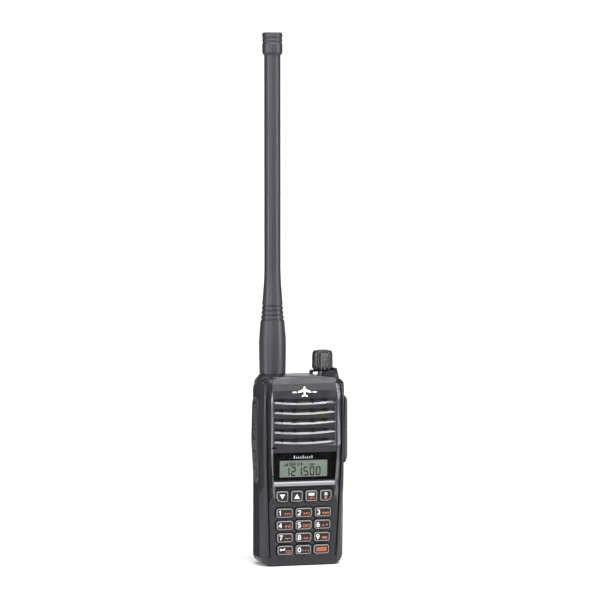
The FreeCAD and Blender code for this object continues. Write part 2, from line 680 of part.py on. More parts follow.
def volume_control():
    body = box(KNOB_X - 5.2, KNOB_X + 5.2, TOP_D - 5.4, TOP_D + 3.9, 101.4, 107.4)
    bushing = cyl_z(KNOB_X, TOP_D, 3.4, 107.2, 111.2)
    collar = cyl_z(KNOB_X, TOP_D, 2.7, 111.0, 113.2)
    return body.fuse([bushing, collar]).cut(cyl_z(KNOB_X, TOP_D, 2.05, 103.5, 120)).removeSplitter()


def volume_shaft():
    shaft = cyl_z(KNOB_X, TOP_D, 2.0, 103.8, 122.0)
    return shaft.cut(box(KNOB_X - 3, KNOB_X + 3, TOP_D + 1.3, TOP_D + 3, 114.5, 123))


def volume_knob():
    profile = [(0, 113.4), (4.9, 113.4), (6.15, 115.0), (6.35, 116.0), (6.1, 123.6), (5.6, 124.9), (4.8, 125.5),
               (3.9, 125.6), (3.2, 125.0), (0, 124.8)]
    knob = turned_z(KNOB_X, TOP_D, profile)
    cuts = []
    for i in range(14):
        a = math.radians(360.0 * i / 14 + 360.0 / 28)
        cx = KNOB_X + 6.85 * math.cos(a)
        cd = TOP_D + 6.85 * math.sin(a)
        flute = cyl_z(cx, cd, 1.15, 112.0, 124.4)
        flute = flute.fuse(Part.makeCone(1.15, 0.15, 1.4, V(cx, Y(cd), 124.4), V(0, 0, 1)))
        cuts.append(flute)
    notch = prism_x([(TOP_D - 8, 122.9), (TOP_D - 1.2, 125.1), (TOP_D - 1.2, 127), (TOP_D - 8, 127)],
                    KNOB_X - 2.3, KNOB_X + 2.3)
    cuts.append(notch)
    cuts.append(cyl_z(KNOB_X, TOP_D, 2.03, 112, 122.1))
    return knob.cut(cuts)


# ---------------------------------------------------------------- antenna and its connector

def antenna_jack():
    x, d = ANT_X, TOP_D
    profile = [(0, 104.5), (4.05, 104.5), (4.05, 111.92), (6.0, 111.92), (6.0, 112.5), (4.75, 112.5),
               (4.75, 121.4), (4.1, 121.4), (4.1, 113.0), (0, 113.0)]
    shell = turned_z(x, d, profile)
    studs = []
    for side in (-1, 1):
        studs.append(Part.makeCylinder(0.95, 5.9 - 4.3, V(x + side * 4.3, Y(d), 115.9), V(side, 0, 0)))
    return join([shell] + studs)


def jack_insulator():
    return ring_z(ANT_X, TOP_D, 2.3, 0.65, 113.0, 119.6)


def antenna_plug():
    x, d = ANT_X, TOP_D
    shell = turned_z(x, d, [(4.95, 112.8), (6.5, 112.8), (6.5, 123.6), (0.0, 123.6), (0.0, 122.2), (4.95, 122.2)])
    track = ring_z(x, d, 6.1, 4.8, 114.75, 117.05)
    entries = []
    for side in (-1, 1):
        entries.append(box(x - 1.15, x + 1.15, d + side * 5.4 - 0.75, d + side * 5.4 + 0.75, 112.0, 115.9))
    sleeve = ring_z(x, d, 3.9, 2.6, 113.6, 122.4)
    shell = shell.cut([track] + entries)
    return join([shell, sleeve]).cut(cyl_z(x, d, 0.6, 121, 125))


def plug_pin():
    return turned_z(ANT_X, TOP_D, [(0, 113.6), (0.3, 113.6), (0.52, 114.2), (0.52, 125.6), (1.6, 125.6),
                                   (1.6, 128.0), (0, 128.0)])


def antenna_base():
    outer = [(6.6, ANT_FOOT_Z), (7.45, ANT_FOOT_Z), (7.75, ANT_FOOT_Z + 0.4), (7.95, 121.0), (8.05, 130.0),
             (7.9, 133.5), (7.55, 138.0), (7.1, 143.6), (2.9, 143.6), (2.9, 123.8), (6.6, 123.8)]
    return turned_z(ANT_X, TOP_D, outer)


def antenna_sheath():
    outer = [(2.9, 143.7), (7.0, 143.7)]
    for z, r in ((144.5, 6.85), (147.1, 6.6), (149.8, 6.35), (152.4, 6.15)):
        outer += [(r + 0.05, z - 0.55), (r - 0.4, z - 0.3), (r - 0.4, z + 0.3), (r, z + 0.55)]
    outer += [(6.1, 153.6), (5.9, 156.0), (5.5, 161.0), (5.1, 166.5), (4.92, 170.5), (4.85, 175.0),
              (4.85, 305.8), (0.0, 305.8), (0.0, 299.0), (2.9, 299.0)]
    return turned_z(ANT_X, TOP_D, outer)


def antenna_cap():
    outer = [(0.0, 306.0), (4.95, 306.0), (4.95, 299.6), (5.3, 299.6), (5.95, 300.9), (6.05, 301.4), (6.05, 306.2),
             (5.75, 306.6), (5.75, 307.4), (6.05, 307.8), (6.05, 308.6), (5.75, 309.0), (5.75, 309.7),
             (6.05, 310.1), (6.0, 312.2), (5.6, 312.8), (4.9, ANT_TIP_Z), (0.0, ANT_TIP_Z)]
    return turned_z(ANT_X, TOP_D, outer)


def antenna_coil():
    x, y = ANT_X, Y(TOP_D)
    pitch, height, r = 5.0, 140.0, 1.9
    helix = Part.makeHelix(pitch, height, r)
    start = Part.Wire([Part.Circle(V(r, 0, 0), V(0, 1, 0), 0.45).toShape()])
    coil = Part.Wire(helix.Edges).makePipeShell([start], True, True)
    coil.translate(V(x, y, 152.0))
    lead = Part.makeCylinder(0.45, 152.2 - 128.0, V(x + r, y, 128.0), V(0, 0, 1))
    foot = Part.makeCylinder(2.4, 1.2, V(x, y, 128.0), V(0, 0, 1))
    return Part.makeCompound([coil, join([lead, foot])])


# ---------------------------------------------------------------- battery pack

def batt_section(z0, z1, wide):
    pts = [(-wide, BATT_D), (-wide + 0.35, 23.0), (-23.9, 26.0), (-21.8, 28.6), (-19.5, BACK_D), (19.5, BACK_D),
           (21.8, 28.6), (23.9, 26.0), (wide - 0.35, 23.0), (wide, BATT_D)]
    return prism_z(pts, z0, z1)


def battery_shell():
    upper = batt_section(28.0, BATT_Z, 25.1)
    lower = batt_section(BASE_Z, 28.0, 25.9)
    solid = upper.fuse(lower)
    profile = [(BATT_D, BASE_Z), (26.2, BASE_Z), (28.6, 0.4), (BACK_D, 3.4), (BACK_D, 78.6), (28.3, 81.6), (26.0, BATT_Z),
               (BATT_D, BATT_Z)]
    solid = solid.common(prism_x(profile, -30, 30))
    return solid.common(prism_y(rect(-26.0, 26.0, BASE_Z, BATT_Z), 20, 31, [CORNER_R, CORNER_R, 2.0, 2.0]))


LID_D = 22.6            # joint between the battery's lid and its tub


def battery_case():
    tub = battery_shell().cut(box(-40, 40, 10, LID_D + 0.02, -5, 100))
    tub = tub.cut(prism_y(rect(-22.6, 22.6, 8.6, 81.4), 20, 28.0, 1.5))
    pocket = prism_y(rect(-7.3, 7.3, 2.4, 8.0), 25.2, 31, 0.8)
    tub = tub.cut([pocket, box(-3.2, 3.2, 22.0, 26.0, 3.2, 6.0)])
    grips = []
    for i in range(7):
        z = 20.0 + i * 2.6
        grips.append(prism_y(rect(-11, 11, z, z + 1.1), BACK_D - 0.5, BACK_D + 1, 0.5))
    return tub.cut(grips)


def battery_lid():
    lid = battery_shell().common(box(-40, 40, 10, LID_D, -5, 100))
    ribs = []
    for side in (-1, 1):
        x0, x1 = sorted((side * 19.6, side * 20.6))
        ribs.append(box(x0, x1, 20.2, BATT_D + 0.1, 12.0, 70.0))
    lid = lid.fuse(ribs)
    cuts = [box(x - 1.4, x + 1.4, 20, BATT_D + 0.5, 12.4, 19.6) for x in (-12.0, -4.0, 4.0, 12.0)]
    cuts.append(box(-7.2, 7.2, 20, LID_D + 1, 3.4, 8.2))
    return lid.cut(cuts)


def battery_contacts():
    return Part.makeCompound([box(x - 1.35, x + 1.35, BATT_D + 0.1, BATT_D + 0.5, 12.5, 19.5)
                              for x in (-12.0, -4.0, 4.0, 12.0)])


def battery_terminals():
    shapes = []
    for x in (-12.0, -4.0, 4.0, 12.0):
        foot = box(x - 1.1, x + 1.1, 19.95, 20.3, 12.4, 19.6)
        bow = prism_x([(20.25, 13.0), (20.25, 14.4), (20.85, 16.2), (20.25, 18.0), (20.25, 19.0), (20.6, 19.0),
                       (21.2, 16.2), (20.6, 13.0)], x - 0.9, x + 0.9)
        shapes.append(join([foot, bow]))
    return Part.makeCompound(shapes)


def battery_cells():
    return prism_y(rect(-22.2, 22.2, 9.2, 80.8), LID_D + 0.3, 27.6, 2.0)


def release_button():
    pts = [(25.5, 2.6), (29.1, 2.6), (29.3, 3.0), (29.3, 5.6), (28.9, 6.0), (25.5, 6.0)]
    key = prism_x(pts, -7.0, 7.0)
    key = key.cut([prism_x([(29.0, z), (29.6, z - 0.3), (29.6, z + 0.3)], -6, 6) for z in (3.6, 4.4, 5.2)])
    return key


def latch_catch():
    tongue = box(-6.6, 6.6, 20.1, 22.2, 4.4, 5.6)
    stem = box(-2.8, 2.8, 22.0, 24.9, 4.2, 5.2)
    return join([tongue, stem])


# ---------------------------------------------------------------- belt clip

PIVOT_D = 32.4
PIVOT_Z = 101.5


def clip_base():
    plate = prism_y(rect(-9.5, 9.5, 88.5, 104.5), UPPER_BACK_D + 0.02, 28.6, 2.0)
    ears = []
    for side in (-1, 1):
        x0, x1 = sorted((side * 6.9, side * 8.7))
        pts = [(28.4, 96.8), (PIVOT_D, PIVOT_Z - 1.7), (PIVOT_D + 1.2, PIVOT_Z - 1.2), (PIVOT_D + 1.6, PIVOT_Z),
               (PIVOT_D + 1.2, PIVOT_Z + 1.2), (PIVOT_D, PIVOT_Z + 1.7), (28.4, 104.0)]
        ears.append(prism_x(pts, x0, x1))
    base = join([plate] + ears)
    cuts = []
    for side in (-1, 1):
        cuts.append(cyl_y(side * CLIP_SCREW_X, CLIP_SCREW_Z, 1.3, 20, 40))
        cuts.append(cyl_y(side * CLIP_SCREW_X, CLIP_SCREW_Z, 2.4, 27.9, 40))
    base = base.cut(cuts)
    pin = cyl_x(PIVOT_D, PIVOT_Z, 0.9, -8.2, 8.2)
    return base.fuse(pin)


def clip_screws():
    shapes = []
    for side in (-1, 1):
        x, z = side * CLIP_SCREW_X, CLIP_SCREW_Z
        head = cyl_y(x, z, 2.2, 27.95, 28.95)
        head = head.cut([prism_y(rect(x - 1.4, x + 1.4, z - 0.25, z + 0.25), 28.5, 30),
                         prism_y(rect(x - 0.25, x + 0.25, z - 1.4, z + 1.4), 28.5, 30)])
        shapes.append(head.fuse(cyl_y(x, z, 1.15, 22.4, 28.0)))
    return Part.makeCompound(shapes)


def clip_lever():
    """Long spring lever: thumb tab above the pivot, toothed tip below."""
    pts = [(31.0, 108.6), (33.0, 108.9), (34.2, 104.5), (35.4, 101.0), (35.9, 96.0), (36.0, 60.0), (34.6, 52.5),
           (32.2, 50.0), (30.0, 50.6), (32.4, 53.4), (34.0, 60.0), (34.0, 96.0), (32.8, 99.6), (31.0, 102.6),
           (30.6, 105.4)]
    blade = prism_x(pts, -6.6, 6.6)
    waist = prism_y([(-6.6, 109.5), (-6.6, 96.0), (-6.6, 60.0), (-6.6, 49.0), (6.6, 49.0), (6.6, 60.0), (6.6, 96.0),
                     (6.6, 109.5)], 25, 40, [2.5, 0, 0, 3.0, 3.0, 0, 0, 2.5])
    wide = prism_x(pts, -9.0, 9.0).common(prism_y(rect(-9.0, 9.0, 49.0, 92.0), 25, 40, [4.5, 4.5, 3.0, 3.0]))
    blade = blade.common(waist).fuse(wide)
    knuckle = cyl_x(PIVOT_D, PIVOT_Z, 2.0, -6.6, -3.4).fuse(cyl_x(PIVOT_D, PIVOT_Z, 2.0, 3.4, 6.6))
    lever = join([blade, knuckle])
    lever = lever.cut([cyl_x(PIVOT_D, PIVOT_Z, 0.96, -12, 12), cyl_x(PIVOT_D, PIVOT_Z, 2.1, -3.4, 3.4)])
    return lever


def clip_spring():
    coil = cyl_x(PIVOT_D, PIVOT_Z, 1.75, -2.6, 2.6).cut(cyl_x(PIVOT_D, PIVOT_Z, 1.15, -3, 3))
    leg = box(-2.4, -1.9, 28.65, 29.2, 92.0, 100.0)
    link = prism_x([(28.65, 99.4), (30.4, 100.8), (30.4, 101.4), (28.65, 100.0)], -2.4, -1.9)
    return join([coil, leg, link])


# ---------------------------------------------------------------- export

def all_parts():
    parts = {
        "front_case": front_case(),
        "rear_case": rear_case(),
        "case_seal": case_seal(),
        "case_screws": case_screws(),
        "strap_loop": strap_loop(),
        "display_window": display_window(),
        "lcd_glass": lcd_glass(),
        "trim_bar": trim_bar(),
        "speaker_net": speaker_net(),
        "speaker_frame": speaker_frame(),
        "speaker_cone": speaker_cone(),
        "microphone": microphone(),
        "key_domes": key_domes(),
        "logic_board": logic_board(),
        "main_board": main_board(),
        "side_switches": side_switches(),
        "side_bezel": side_bezel(),
        "audio_jacks": audio_jacks(),
        "ptt_button": ptt_button(),
        "side_key_upper": side_key(61.2, 66.9, 27.25),
        "side_key_lower": side_key(51.6, 56.8, 26.85),
        "jack_cover": jack_cover(),
        "volume_control": volume_control(),
        "volume_shaft": volume_shaft(),
        "volume_knob": volume_knob(),
        "antenna_jack": antenna_jack(),
        "jack_insulator": jack_insulator(),
        "antenna_plug": antenna_plug(),
        "plug_pin": plug_pin(),
        "antenna_base": antenna_base(),
        "antenna_sheath": antenna_sheath(),
        "antenna_cap": antenna_cap(),
        "antenna_coil": antenna_coil(),
        "battery_case": battery_case(),
        "battery_lid": battery_lid(),
        "battery_cells": battery_cells(),
        "battery_contacts": battery_contacts(),
        "battery_terminals": battery_terminals(),
        "release_button": release_button(),
        "latch_catch": latch_catch(),
        "clip_base": clip_base(),
        "clip_screws": clip_screws(),
        "clip_lever": clip_lever(),
        "clip_spring": clip_spring(),
    }
    for name, pts, radii in pad_keys():
        face = 0.65 if pts[0][1] > 37 else FACE_D
        parts[name] = make_key(pts, radii, face)
    return parts


os.makedirs("parts", exist_ok=True)
for node, shape in all_parts().items():
    shape.translate(V(0, 0, LIFT))
    shape.exportStep("parts/" + node + ".step")
    print(node, shape.isValid(), len(shape.Solids), round(shape.Volume, 1))
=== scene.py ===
import bmesh
import bpy
import json
import math
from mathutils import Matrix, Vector
from mathutils.bvhtree import BVHTree

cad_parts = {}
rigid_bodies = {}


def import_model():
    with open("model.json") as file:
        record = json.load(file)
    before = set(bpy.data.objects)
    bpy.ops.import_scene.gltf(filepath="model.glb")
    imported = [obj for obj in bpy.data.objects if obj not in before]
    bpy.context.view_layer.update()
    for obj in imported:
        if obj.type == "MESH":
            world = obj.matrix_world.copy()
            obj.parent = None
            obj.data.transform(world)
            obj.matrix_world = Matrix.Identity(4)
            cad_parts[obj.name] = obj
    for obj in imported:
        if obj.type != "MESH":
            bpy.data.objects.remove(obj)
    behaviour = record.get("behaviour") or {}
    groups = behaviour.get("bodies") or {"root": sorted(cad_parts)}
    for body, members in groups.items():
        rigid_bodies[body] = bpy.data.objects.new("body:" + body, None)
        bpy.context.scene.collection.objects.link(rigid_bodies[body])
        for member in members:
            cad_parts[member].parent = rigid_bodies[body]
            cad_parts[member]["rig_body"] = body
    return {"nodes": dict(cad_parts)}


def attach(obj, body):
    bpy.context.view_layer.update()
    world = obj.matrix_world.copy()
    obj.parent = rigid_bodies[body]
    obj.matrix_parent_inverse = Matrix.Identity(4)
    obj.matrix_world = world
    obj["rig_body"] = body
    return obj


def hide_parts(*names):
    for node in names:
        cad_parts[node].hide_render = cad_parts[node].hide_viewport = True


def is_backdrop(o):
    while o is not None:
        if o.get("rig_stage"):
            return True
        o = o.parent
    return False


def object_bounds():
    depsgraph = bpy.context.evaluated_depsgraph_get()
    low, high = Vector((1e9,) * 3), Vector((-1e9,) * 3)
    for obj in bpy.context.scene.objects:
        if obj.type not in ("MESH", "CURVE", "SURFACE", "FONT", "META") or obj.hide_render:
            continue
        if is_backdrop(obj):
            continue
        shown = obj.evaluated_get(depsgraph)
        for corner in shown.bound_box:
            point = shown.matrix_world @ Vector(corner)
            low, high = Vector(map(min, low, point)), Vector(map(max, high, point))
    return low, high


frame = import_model()
NODES = frame["nodes"]
SIZE_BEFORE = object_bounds()

# ------------------------------------------------------------------ places on the front

MM = 0.001
FRONT_Y = -16.0      # panel front
LIFT = 1.2           # height of datum zero above the floor
LEAN_Z = 70.0        # the front leans back below this height
LEAN = math.radians(3.0)


def depth_y(d):
    """Y in metres at a depth in millimetres behind the panel front."""
    return (FRONT_Y + d) * MM


def at(x, d, z):
    """Point in metres from x, depth behind the panel front and datum height, on the leaning front."""
    if z < LEAN_Z:
        d, z = (d * math.cos(LEAN) - (z - LEAN_Z) * math.sin(LEAN),
                LEAN_Z + d * math.sin(LEAN) + (z - LEAN_Z) * math.cos(LEAN))
    return (x * MM, depth_y(d), (z + LIFT) * MM)


def flat_place(face):
    """Middle of a face as x, depth and height on the front, with the lean taken out."""
    x = face.center.x / MM
    d = face.center.y / MM - FRONT_Y
    z = face.center.z / MM - LIFT - LEAN_Z
    if z > 0:
        return x, d, z + LEAN_Z
    return (x, d * math.cos(LEAN) + z * math.sin(LEAN), LEAN_Z - d * math.sin(LEAN) + z * math.cos(LEAN))


# ------------------------------------------------------------------ materials

NOISE_SPAN = (0.3, 0.7)      # most noise values lie between these two
BLOTCH_SCALE = 90.0
WEAR_SCALE = 160.0
SOFT_DETAIL = 3.0
BUMP_HEIGHT = 0.05 * MM
CASE_GRAIN = 2600.0
SMEAR_SCALE = 220.0
SMEAR_ROUGHNESS = (0.03, 0.07)
PANE_TINT = (0.93, 0.94, 0.93, 1.0)
PANE_IOR = 1.06              # low, so the pane hardly mirrors when seen from the front
WEAVE_SCALE = 1800.0
WEAVE_SPAN = (0.1, 0.6)
WEAVE_HEIGHT = 0.1 * MM
THREAD = (0.016, 0.016, 0.018, 1.0)
THREAD_GAP = (0.003, 0.003, 0.003, 1.0)


def new_material(name):
    mat = bpy.data.materials.new(name)
    mat.use_nodes = True
    tree = mat.node_tree
    for node in list(tree.nodes):
        tree.nodes.remove(node)
    out = tree.nodes.new("ShaderNodeOutputMaterial")
    shader = tree.nodes.new("ShaderNodeBsdfPrincipled")
    tree.links.new(shader.outputs["BSDF"], out.inputs["Surface"])
    return mat, tree, shader


def noise(tree, coords, scale, detail=2.0):
    node = tree.nodes.new("ShaderNodeTexNoise")
    node.inputs["Scale"].default_value = scale
    node.inputs["Detail"].default_value = detail
    tree.links.new(coords, node.inputs["Vector"])
    return node.outputs["Fac"]


def ramp(tree, fac, span, low=0.0, high=1.0):
    """Brings the values of a span to between low and high."""
    node = tree.nodes.new("ShaderNodeMapRange")
    node.inputs["From Min"].default_value = span[0]
    node.inputs["From Max"].default_value = span[1]
    node.inputs["To Min"].default_value = low
    node.inputs["To Max"].default_value = high
    tree.links.new(fac, node.inputs["Value"])
    return node.outputs["Result"]


def colour_mix(tree, fac, first, second):
    node = tree.nodes.new("ShaderNodeMix")
    node.data_type = "RGBA"
    node.inputs["A"].default_value = first
    node.inputs["B"].default_value = second
    tree.links.new(fac, node.inputs["Factor"])
    return node.outputs["Result"]


def add_bump(tree, shader, texture, strength, height):
    bump = tree.nodes.new("ShaderNodeBump")
    bump.inputs["Strength"].default_value = strength
    bump.inputs["Distance"].default_value = height
    tree.links.new(texture, bump.inputs["Height"])
    tree.links.new(bump.outputs["Normal"], shader.inputs["Normal"])


def surface(name, colour, rough, metal=0.0, grain=0.0, grain_scale=2500.0, blotch=0.08, rough_var=0.06,
            spec=0.5, stretch=(1, 1, 1)):
    """General finish: base colour with soft blotches, roughness that varies, and a fine bump."""
    mat, tree, shader = new_material(name)
    texture = tree.nodes.new("ShaderNodeTexCoord")
    mapping = tree.nodes.new("ShaderNodeMapping")
    mapping.inputs["Scale"].default_value = stretch
    tree.links.new(texture.outputs["Object"], mapping.inputs["Vector"])
    coords = mapping.outputs["Vector"]
    darker = tuple(c * (1 - blotch) for c in colour) + (1.0,)
    lighter = tuple(c * (1 + blotch) for c in colour) + (1.0,)
    blotches = ramp(tree, noise(tree, coords, BLOTCH_SCALE, SOFT_DETAIL), NOISE_SPAN)
    tree.links.new(colour_mix(tree, blotches, darker, lighter), shader.inputs["Base Color"])
    wear = noise(tree, coords, WEAR_SCALE, SOFT_DETAIL)
    roughness = ramp(tree, wear, NOISE_SPAN, rough - rough_var, rough + rough_var)
    tree.links.new(roughness, shader.inputs["Roughness"])
    shader.inputs["Metallic"].default_value = metal
    shader.inputs["Specular IOR Level"].default_value = spec
    if grain > 0:
        add_bump(tree, shader, noise(tree, coords, grain_scale), grain, BUMP_HEIGHT)
    return mat


def window_material(name):
    """Clear pane: see-through with a sharp reflection that grows at grazing angles."""
    mat, tree, shader = new_material(name)
    out = next(node for node in tree.nodes if node.type == "OUTPUT_MATERIAL")
    tree.nodes.remove(shader)
    clear = tree.nodes.new("ShaderNodeBsdfTransparent")
    clear.inputs["Color"].default_value = PANE_TINT
    gloss = tree.nodes.new("ShaderNodeBsdfGlossy")
    texture = tree.nodes.new("ShaderNodeTexCoord")
    smears = noise(tree, texture.outputs["Object"], SMEAR_SCALE)
    tree.links.new(ramp(tree, smears, NOISE_SPAN, *SMEAR_ROUGHNESS), gloss.inputs["Roughness"])
    fresnel = tree.nodes.new("ShaderNodeFresnel")
    fresnel.inputs["IOR"].default_value = PANE_IOR
    mix = tree.nodes.new("ShaderNodeMixShader")
    tree.links.new(fresnel.outputs["Fac"], mix.inputs["Fac"])
    tree.links.new(clear.outputs["BSDF"], mix.inputs[1])
    tree.links.new(gloss.outputs["BSDF"], mix.inputs[2])
    tree.links.new(mix.outputs["Shader"], out.inputs["Surface"])
    return mat


def cloth_material(name):
    """Woven loudspeaker cloth."""
    mat, tree, shader = new_material(name)
    texture = tree.nodes.new("ShaderNodeTexCoord")
    weave = tree.nodes.new("ShaderNodeTexVoronoi")
    weave.inputs["Scale"].default_value = WEAVE_SCALE
    tree.links.new(texture.outputs["Object"], weave.inputs["Vector"])
    gaps = ramp(tree, weave.outputs["Distance"], WEAVE_SPAN)
    tree.links.new(colour_mix(tree, gaps, THREAD, THREAD_GAP), shader.inputs["Base Color"])
    shader.inputs["Roughness"].default_value = 0.85
    add_bump(tree, shader, weave.outputs["Distance"], 0.5, WEAVE_HEIGHT)
    return mat


FINISH = {
    # body
    "case": surface("case_finish", (0.0070, 0.0070, 0.0092), 0.36, grain=0.25, grain_scale=CASE_GRAIN,
                    blotch=0.05, spec=0.36),
    # Matte copy of the case finish without sheen for the sides, which keeps them dark: a textured side
    # finish and painted shade together.
    "case_side": surface("case_side_finish", (0.018, 0.018, 0.0205), 0.7, grain=0.3,
                         grain_scale=CASE_GRAIN, spec=0.0),
    # Lighter, shinier copy of the case finish: painted highlight on the left bevel, the lower edge of the
    # key recess, the slot lips and the strap loop.
    "painted_highlight": surface("painted_highlight_finish", (0.026, 0.026, 0.029), 0.30, grain=0.1,
                         grain_scale=CASE_GRAIN, spec=0.78),
    # Satin, lighter copy of the case finish: painted highlight on the right strip only.
    "painted_strip_highlight": surface("painted_strip_highlight_finish", (0.021, 0.021, 0.024), 0.40, grain=0.15,
                          grain_scale=CASE_GRAIN, spec=0.62),
    # Darker, duller copy of the case finish: painted shade on the slot walls, the grooves, the left strip
    # and the right bevel.
    "painted_shade": surface("painted_shade_finish", (0.006, 0.006, 0.007), 0.6, grain=0.2, spec=0.1),
    # Duller copy of the case finish for the recess around the four upper keys, which makes it darker.
    "recess": surface("recess_finish", (0.0075, 0.0075, 0.0088), 0.5, grain=0.2, spec=0.2),
    "back": surface("back_finish", (0.022, 0.022, 0.025), 0.46, grain=0.3, grain_scale=2400.0, spec=0.3),
    "cover": surface("cover_finish", (0.033, 0.033, 0.036), 0.40, grain=0.25, spec=0.3),
    "clip": surface("clip_finish", (0.022, 0.022, 0.024), 0.42, grain=0.2),
    "side": surface("side_rubber_finish", (0.0155, 0.0155, 0.018), 0.55, grain=0.25, grain_scale=3200.0,
                    spec=0.15),
    "knob": surface("knob_finish", (0.007, 0.007, 0.0082), 0.24, blotch=0.05, rough_var=0.02, spec=0.5),
    "antenna": surface("antenna_finish", (0.0145, 0.0145, 0.0175), 0.42, grain=0.15, grain_scale=1800.0,
                       blotch=0.05, spec=0.3, stretch=(1, 1, 0.3)),
    "silver": surface("silver_finish", (0.25, 0.25, 0.26), 0.66, metal=0.9, grain=0.3, grain_scale=1500.0,
                      stretch=(0.05, 1, 6)),
    # keys and inks
    "key": surface("key_finish", (0.010, 0.010, 0.010), 0.42, grain=0.1, spec=0.4),
    "key_core": surface("key_core_finish", (0.008, 0.0085, 0.008), 0.45, grain=0.08, spec=0.2),
    "ring": surface("key_ring_finish", (0.115, 0.115, 0.115), 0.45, blotch=0.05, spec=0.3),
    "white": surface("white_ink", (0.66, 0.66, 0.66), 0.5, blotch=0.03, grain=0.1, spec=0.3),
    "orange": surface("orange_ink", (0.275, 0.068, 0.020), 0.5, blotch=0.05, grain=0.1, spec=0.3),
    # display and loudspeaker
    "black": surface("black_print", (0.0015, 0.0015, 0.0015), 0.5, blotch=0.2, spec=0.05),
    "lcd": surface("lcd_finish", (0.128, 0.148, 0.128), 0.45, blotch=0.04, spec=0.1),
    "segment": surface("segment_finish", (0.012, 0.008, 0.007), 0.5, blotch=0.05, spec=0.1),
    "window": window_material("window_finish"),
    "cloth": cloth_material("speaker_cloth_finish"),
    "paper": surface("cone_finish", (0.02, 0.02, 0.02), 0.8, grain=0.4),
    # metals
    "steel": surface("screw_finish", (0.10, 0.10, 0.11), 0.35, metal=0.9, grain=0.2),
    "bright_steel": surface("bright_steel_finish", (0.55, 0.55, 0.56), 0.28, metal=1.0, grain=0.15),
    "gold": surface("gold_finish", (0.75, 0.52, 0.18), 0.25, metal=1.0, grain=0.05),
    # inner parts
    "board": surface("board_finish", (0.012, 0.070, 0.025), 0.35, blotch=0.2, grain=0.2,
                     grain_scale=600.0),
    "film": surface("film_finish", (0.06, 0.035, 0.012), 0.4),
    "insulator": surface("insulator_finish", (0.75, 0.75, 0.72), 0.5),
    "wrap": surface("cell_finish", (0.022, 0.024, 0.028), 0.45, grain=0.2),
    "seal": surface("seal_finish", (0.01, 0.01, 0.01), 0.6, grain=0.1),
    "dark": surface("dark_plastic", (0.008, 0.008, 0.009), 0.5, grain=0.2),
}

# Every node that isn't listed is a key
NODE_FINISH = {
    "front_case": "case", "rear_case": "back", "case_seal": "seal", "case_screws": "steel",
    # The strap loop gets the lighter, shinier finish as painted light where the knob shades it.
    "strap_loop": "painted_highlight", "display_window": "window", "lcd_glass": "lcd", "trim_bar": "silver",
    "speaker_net": "cloth", "speaker_frame": "bright_steel", "speaker_cone": "paper", "microphone": "dark",
    "key_domes": "bright_steel", "logic_board": "board", "main_board": "board", "side_switches": "film",
    "side_bezel": "side", "audio_jacks": "dark", "volume_control": "steel", "antenna_jack": "steel",
    # The antenna jack and plug take the dark steel finish instead of bright nickel: painted shade in the
    # gap under the antenna foot.
    "jack_insulator": "insulator", "battery_terminals": "gold", "clip_base": "clip",
    "clip_screws": "steel", "clip_spring": "bright_steel", "antenna_plug": "steel", "plug_pin": "gold",
    "antenna_base": "antenna", "antenna_sheath": "antenna", "antenna_cap": "antenna",
    "antenna_coil": "gold", "battery_case": "back", "battery_lid": "back", "battery_cells": "wrap",
    "battery_contacts": "gold", "latch_catch": "clip", "volume_shaft": "bright_steel",
    "volume_knob": "knob", "ptt_button": "side", "side_key_upper": "side", "side_key_lower": "side",
    "jack_cover": "cover", "release_button": "clip", "clip_lever": "clip",
}

# Nodes that a smooth copy stands in for, besides the front case
SMOOTHED = ("rear_case", "battery_case", "side_bezel", "ptt_button", "side_key_upper", "side_key_lower",
            "jack_cover", "volume_knob", "strap_loop", "clip_lever", "clip_base")


def paint(obj, key):
    obj.data.materials.clear()
    obj.data.materials.append(FINISH[key])


def add_finish(obj, key):
    """Gives a piece one more finish and returns its number on the piece."""
    obj.data.materials.append(FINISH[key])
    return len(obj.data.materials) - 1


# ------------------------------------------------------------------ mesh helpers

WELD = 0.002 * MM
CAD_CREASE = 32.0            # edges sharper than these angles, in degrees, stay crisp
COPY_CREASE = 30.0
CASE_CREASE = 16.0
BAND_CREASE = 50.0
NORMAL_WEIGHT = 80           # how far large faces rule the shading of a smoothed copy
SMALLEST_RADIUS = 0.02
MITRE_LIMIT = 0.45           # keeps the corners of a sharp pen line from reaching too far
RAY_START = -6.0             # draped shapes are dropped onto the case from this far before it
DRAPE_EDGE = 0.6             # a draped shape's edges that are longer than this are cut in two
DRAPE_PASSES = 3


def link(obj):
    bpy.context.scene.collection.objects.link(obj)
    return obj


def shade(mesh, degrees):
    """Smooth shading with edges kept crisp above an angle."""
    mesh.shade_smooth()
    mesh.set_sharp_from_angle(angle=math.radians(degrees))


def smoothed(node, finish, angle=COPY_CREASE):
    """A welded copy of a CAD node, shaded crisply, that stands in for it."""
    source = NODES[node]
    mesh = source.data.copy()
    mesh.name = node + "_soft"
    bm = bmesh.new()
    bm.from_mesh(mesh)
    bmesh.ops.remove_doubles(bm, verts=bm.verts, dist=WELD)
    bm.to_mesh(mesh)
    bm.free()
    shade(mesh, angle)
    obj = link(bpy.data.objects.new(node + "_soft", mesh))
    weighted = obj.modifiers.new("normals", "WEIGHTED_NORMAL")
    weighted.mode = "FACE_AREA_WITH_ANGLE"
    weighted.weight = NORMAL_WEIGHT
    weighted.keep_sharp = True
    bpy.context.view_layer.update()
    shaped = bpy.data.meshes.new_from_object(obj.evaluated_get(bpy.context.evaluated_depsgraph_get()))
    obj.modifiers.clear()
    obj.data = shaped
    paint(obj, finish)
    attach(obj, source["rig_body"])
    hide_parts(node)
    return obj


def add_piece(name, mesh, finish, body):
    """Visible piece made from a mesh, painted and fixed to its body."""
    obj = link(bpy.data.objects.new(name, mesh))
    paint(obj, finish)
    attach(obj, body)
    return obj


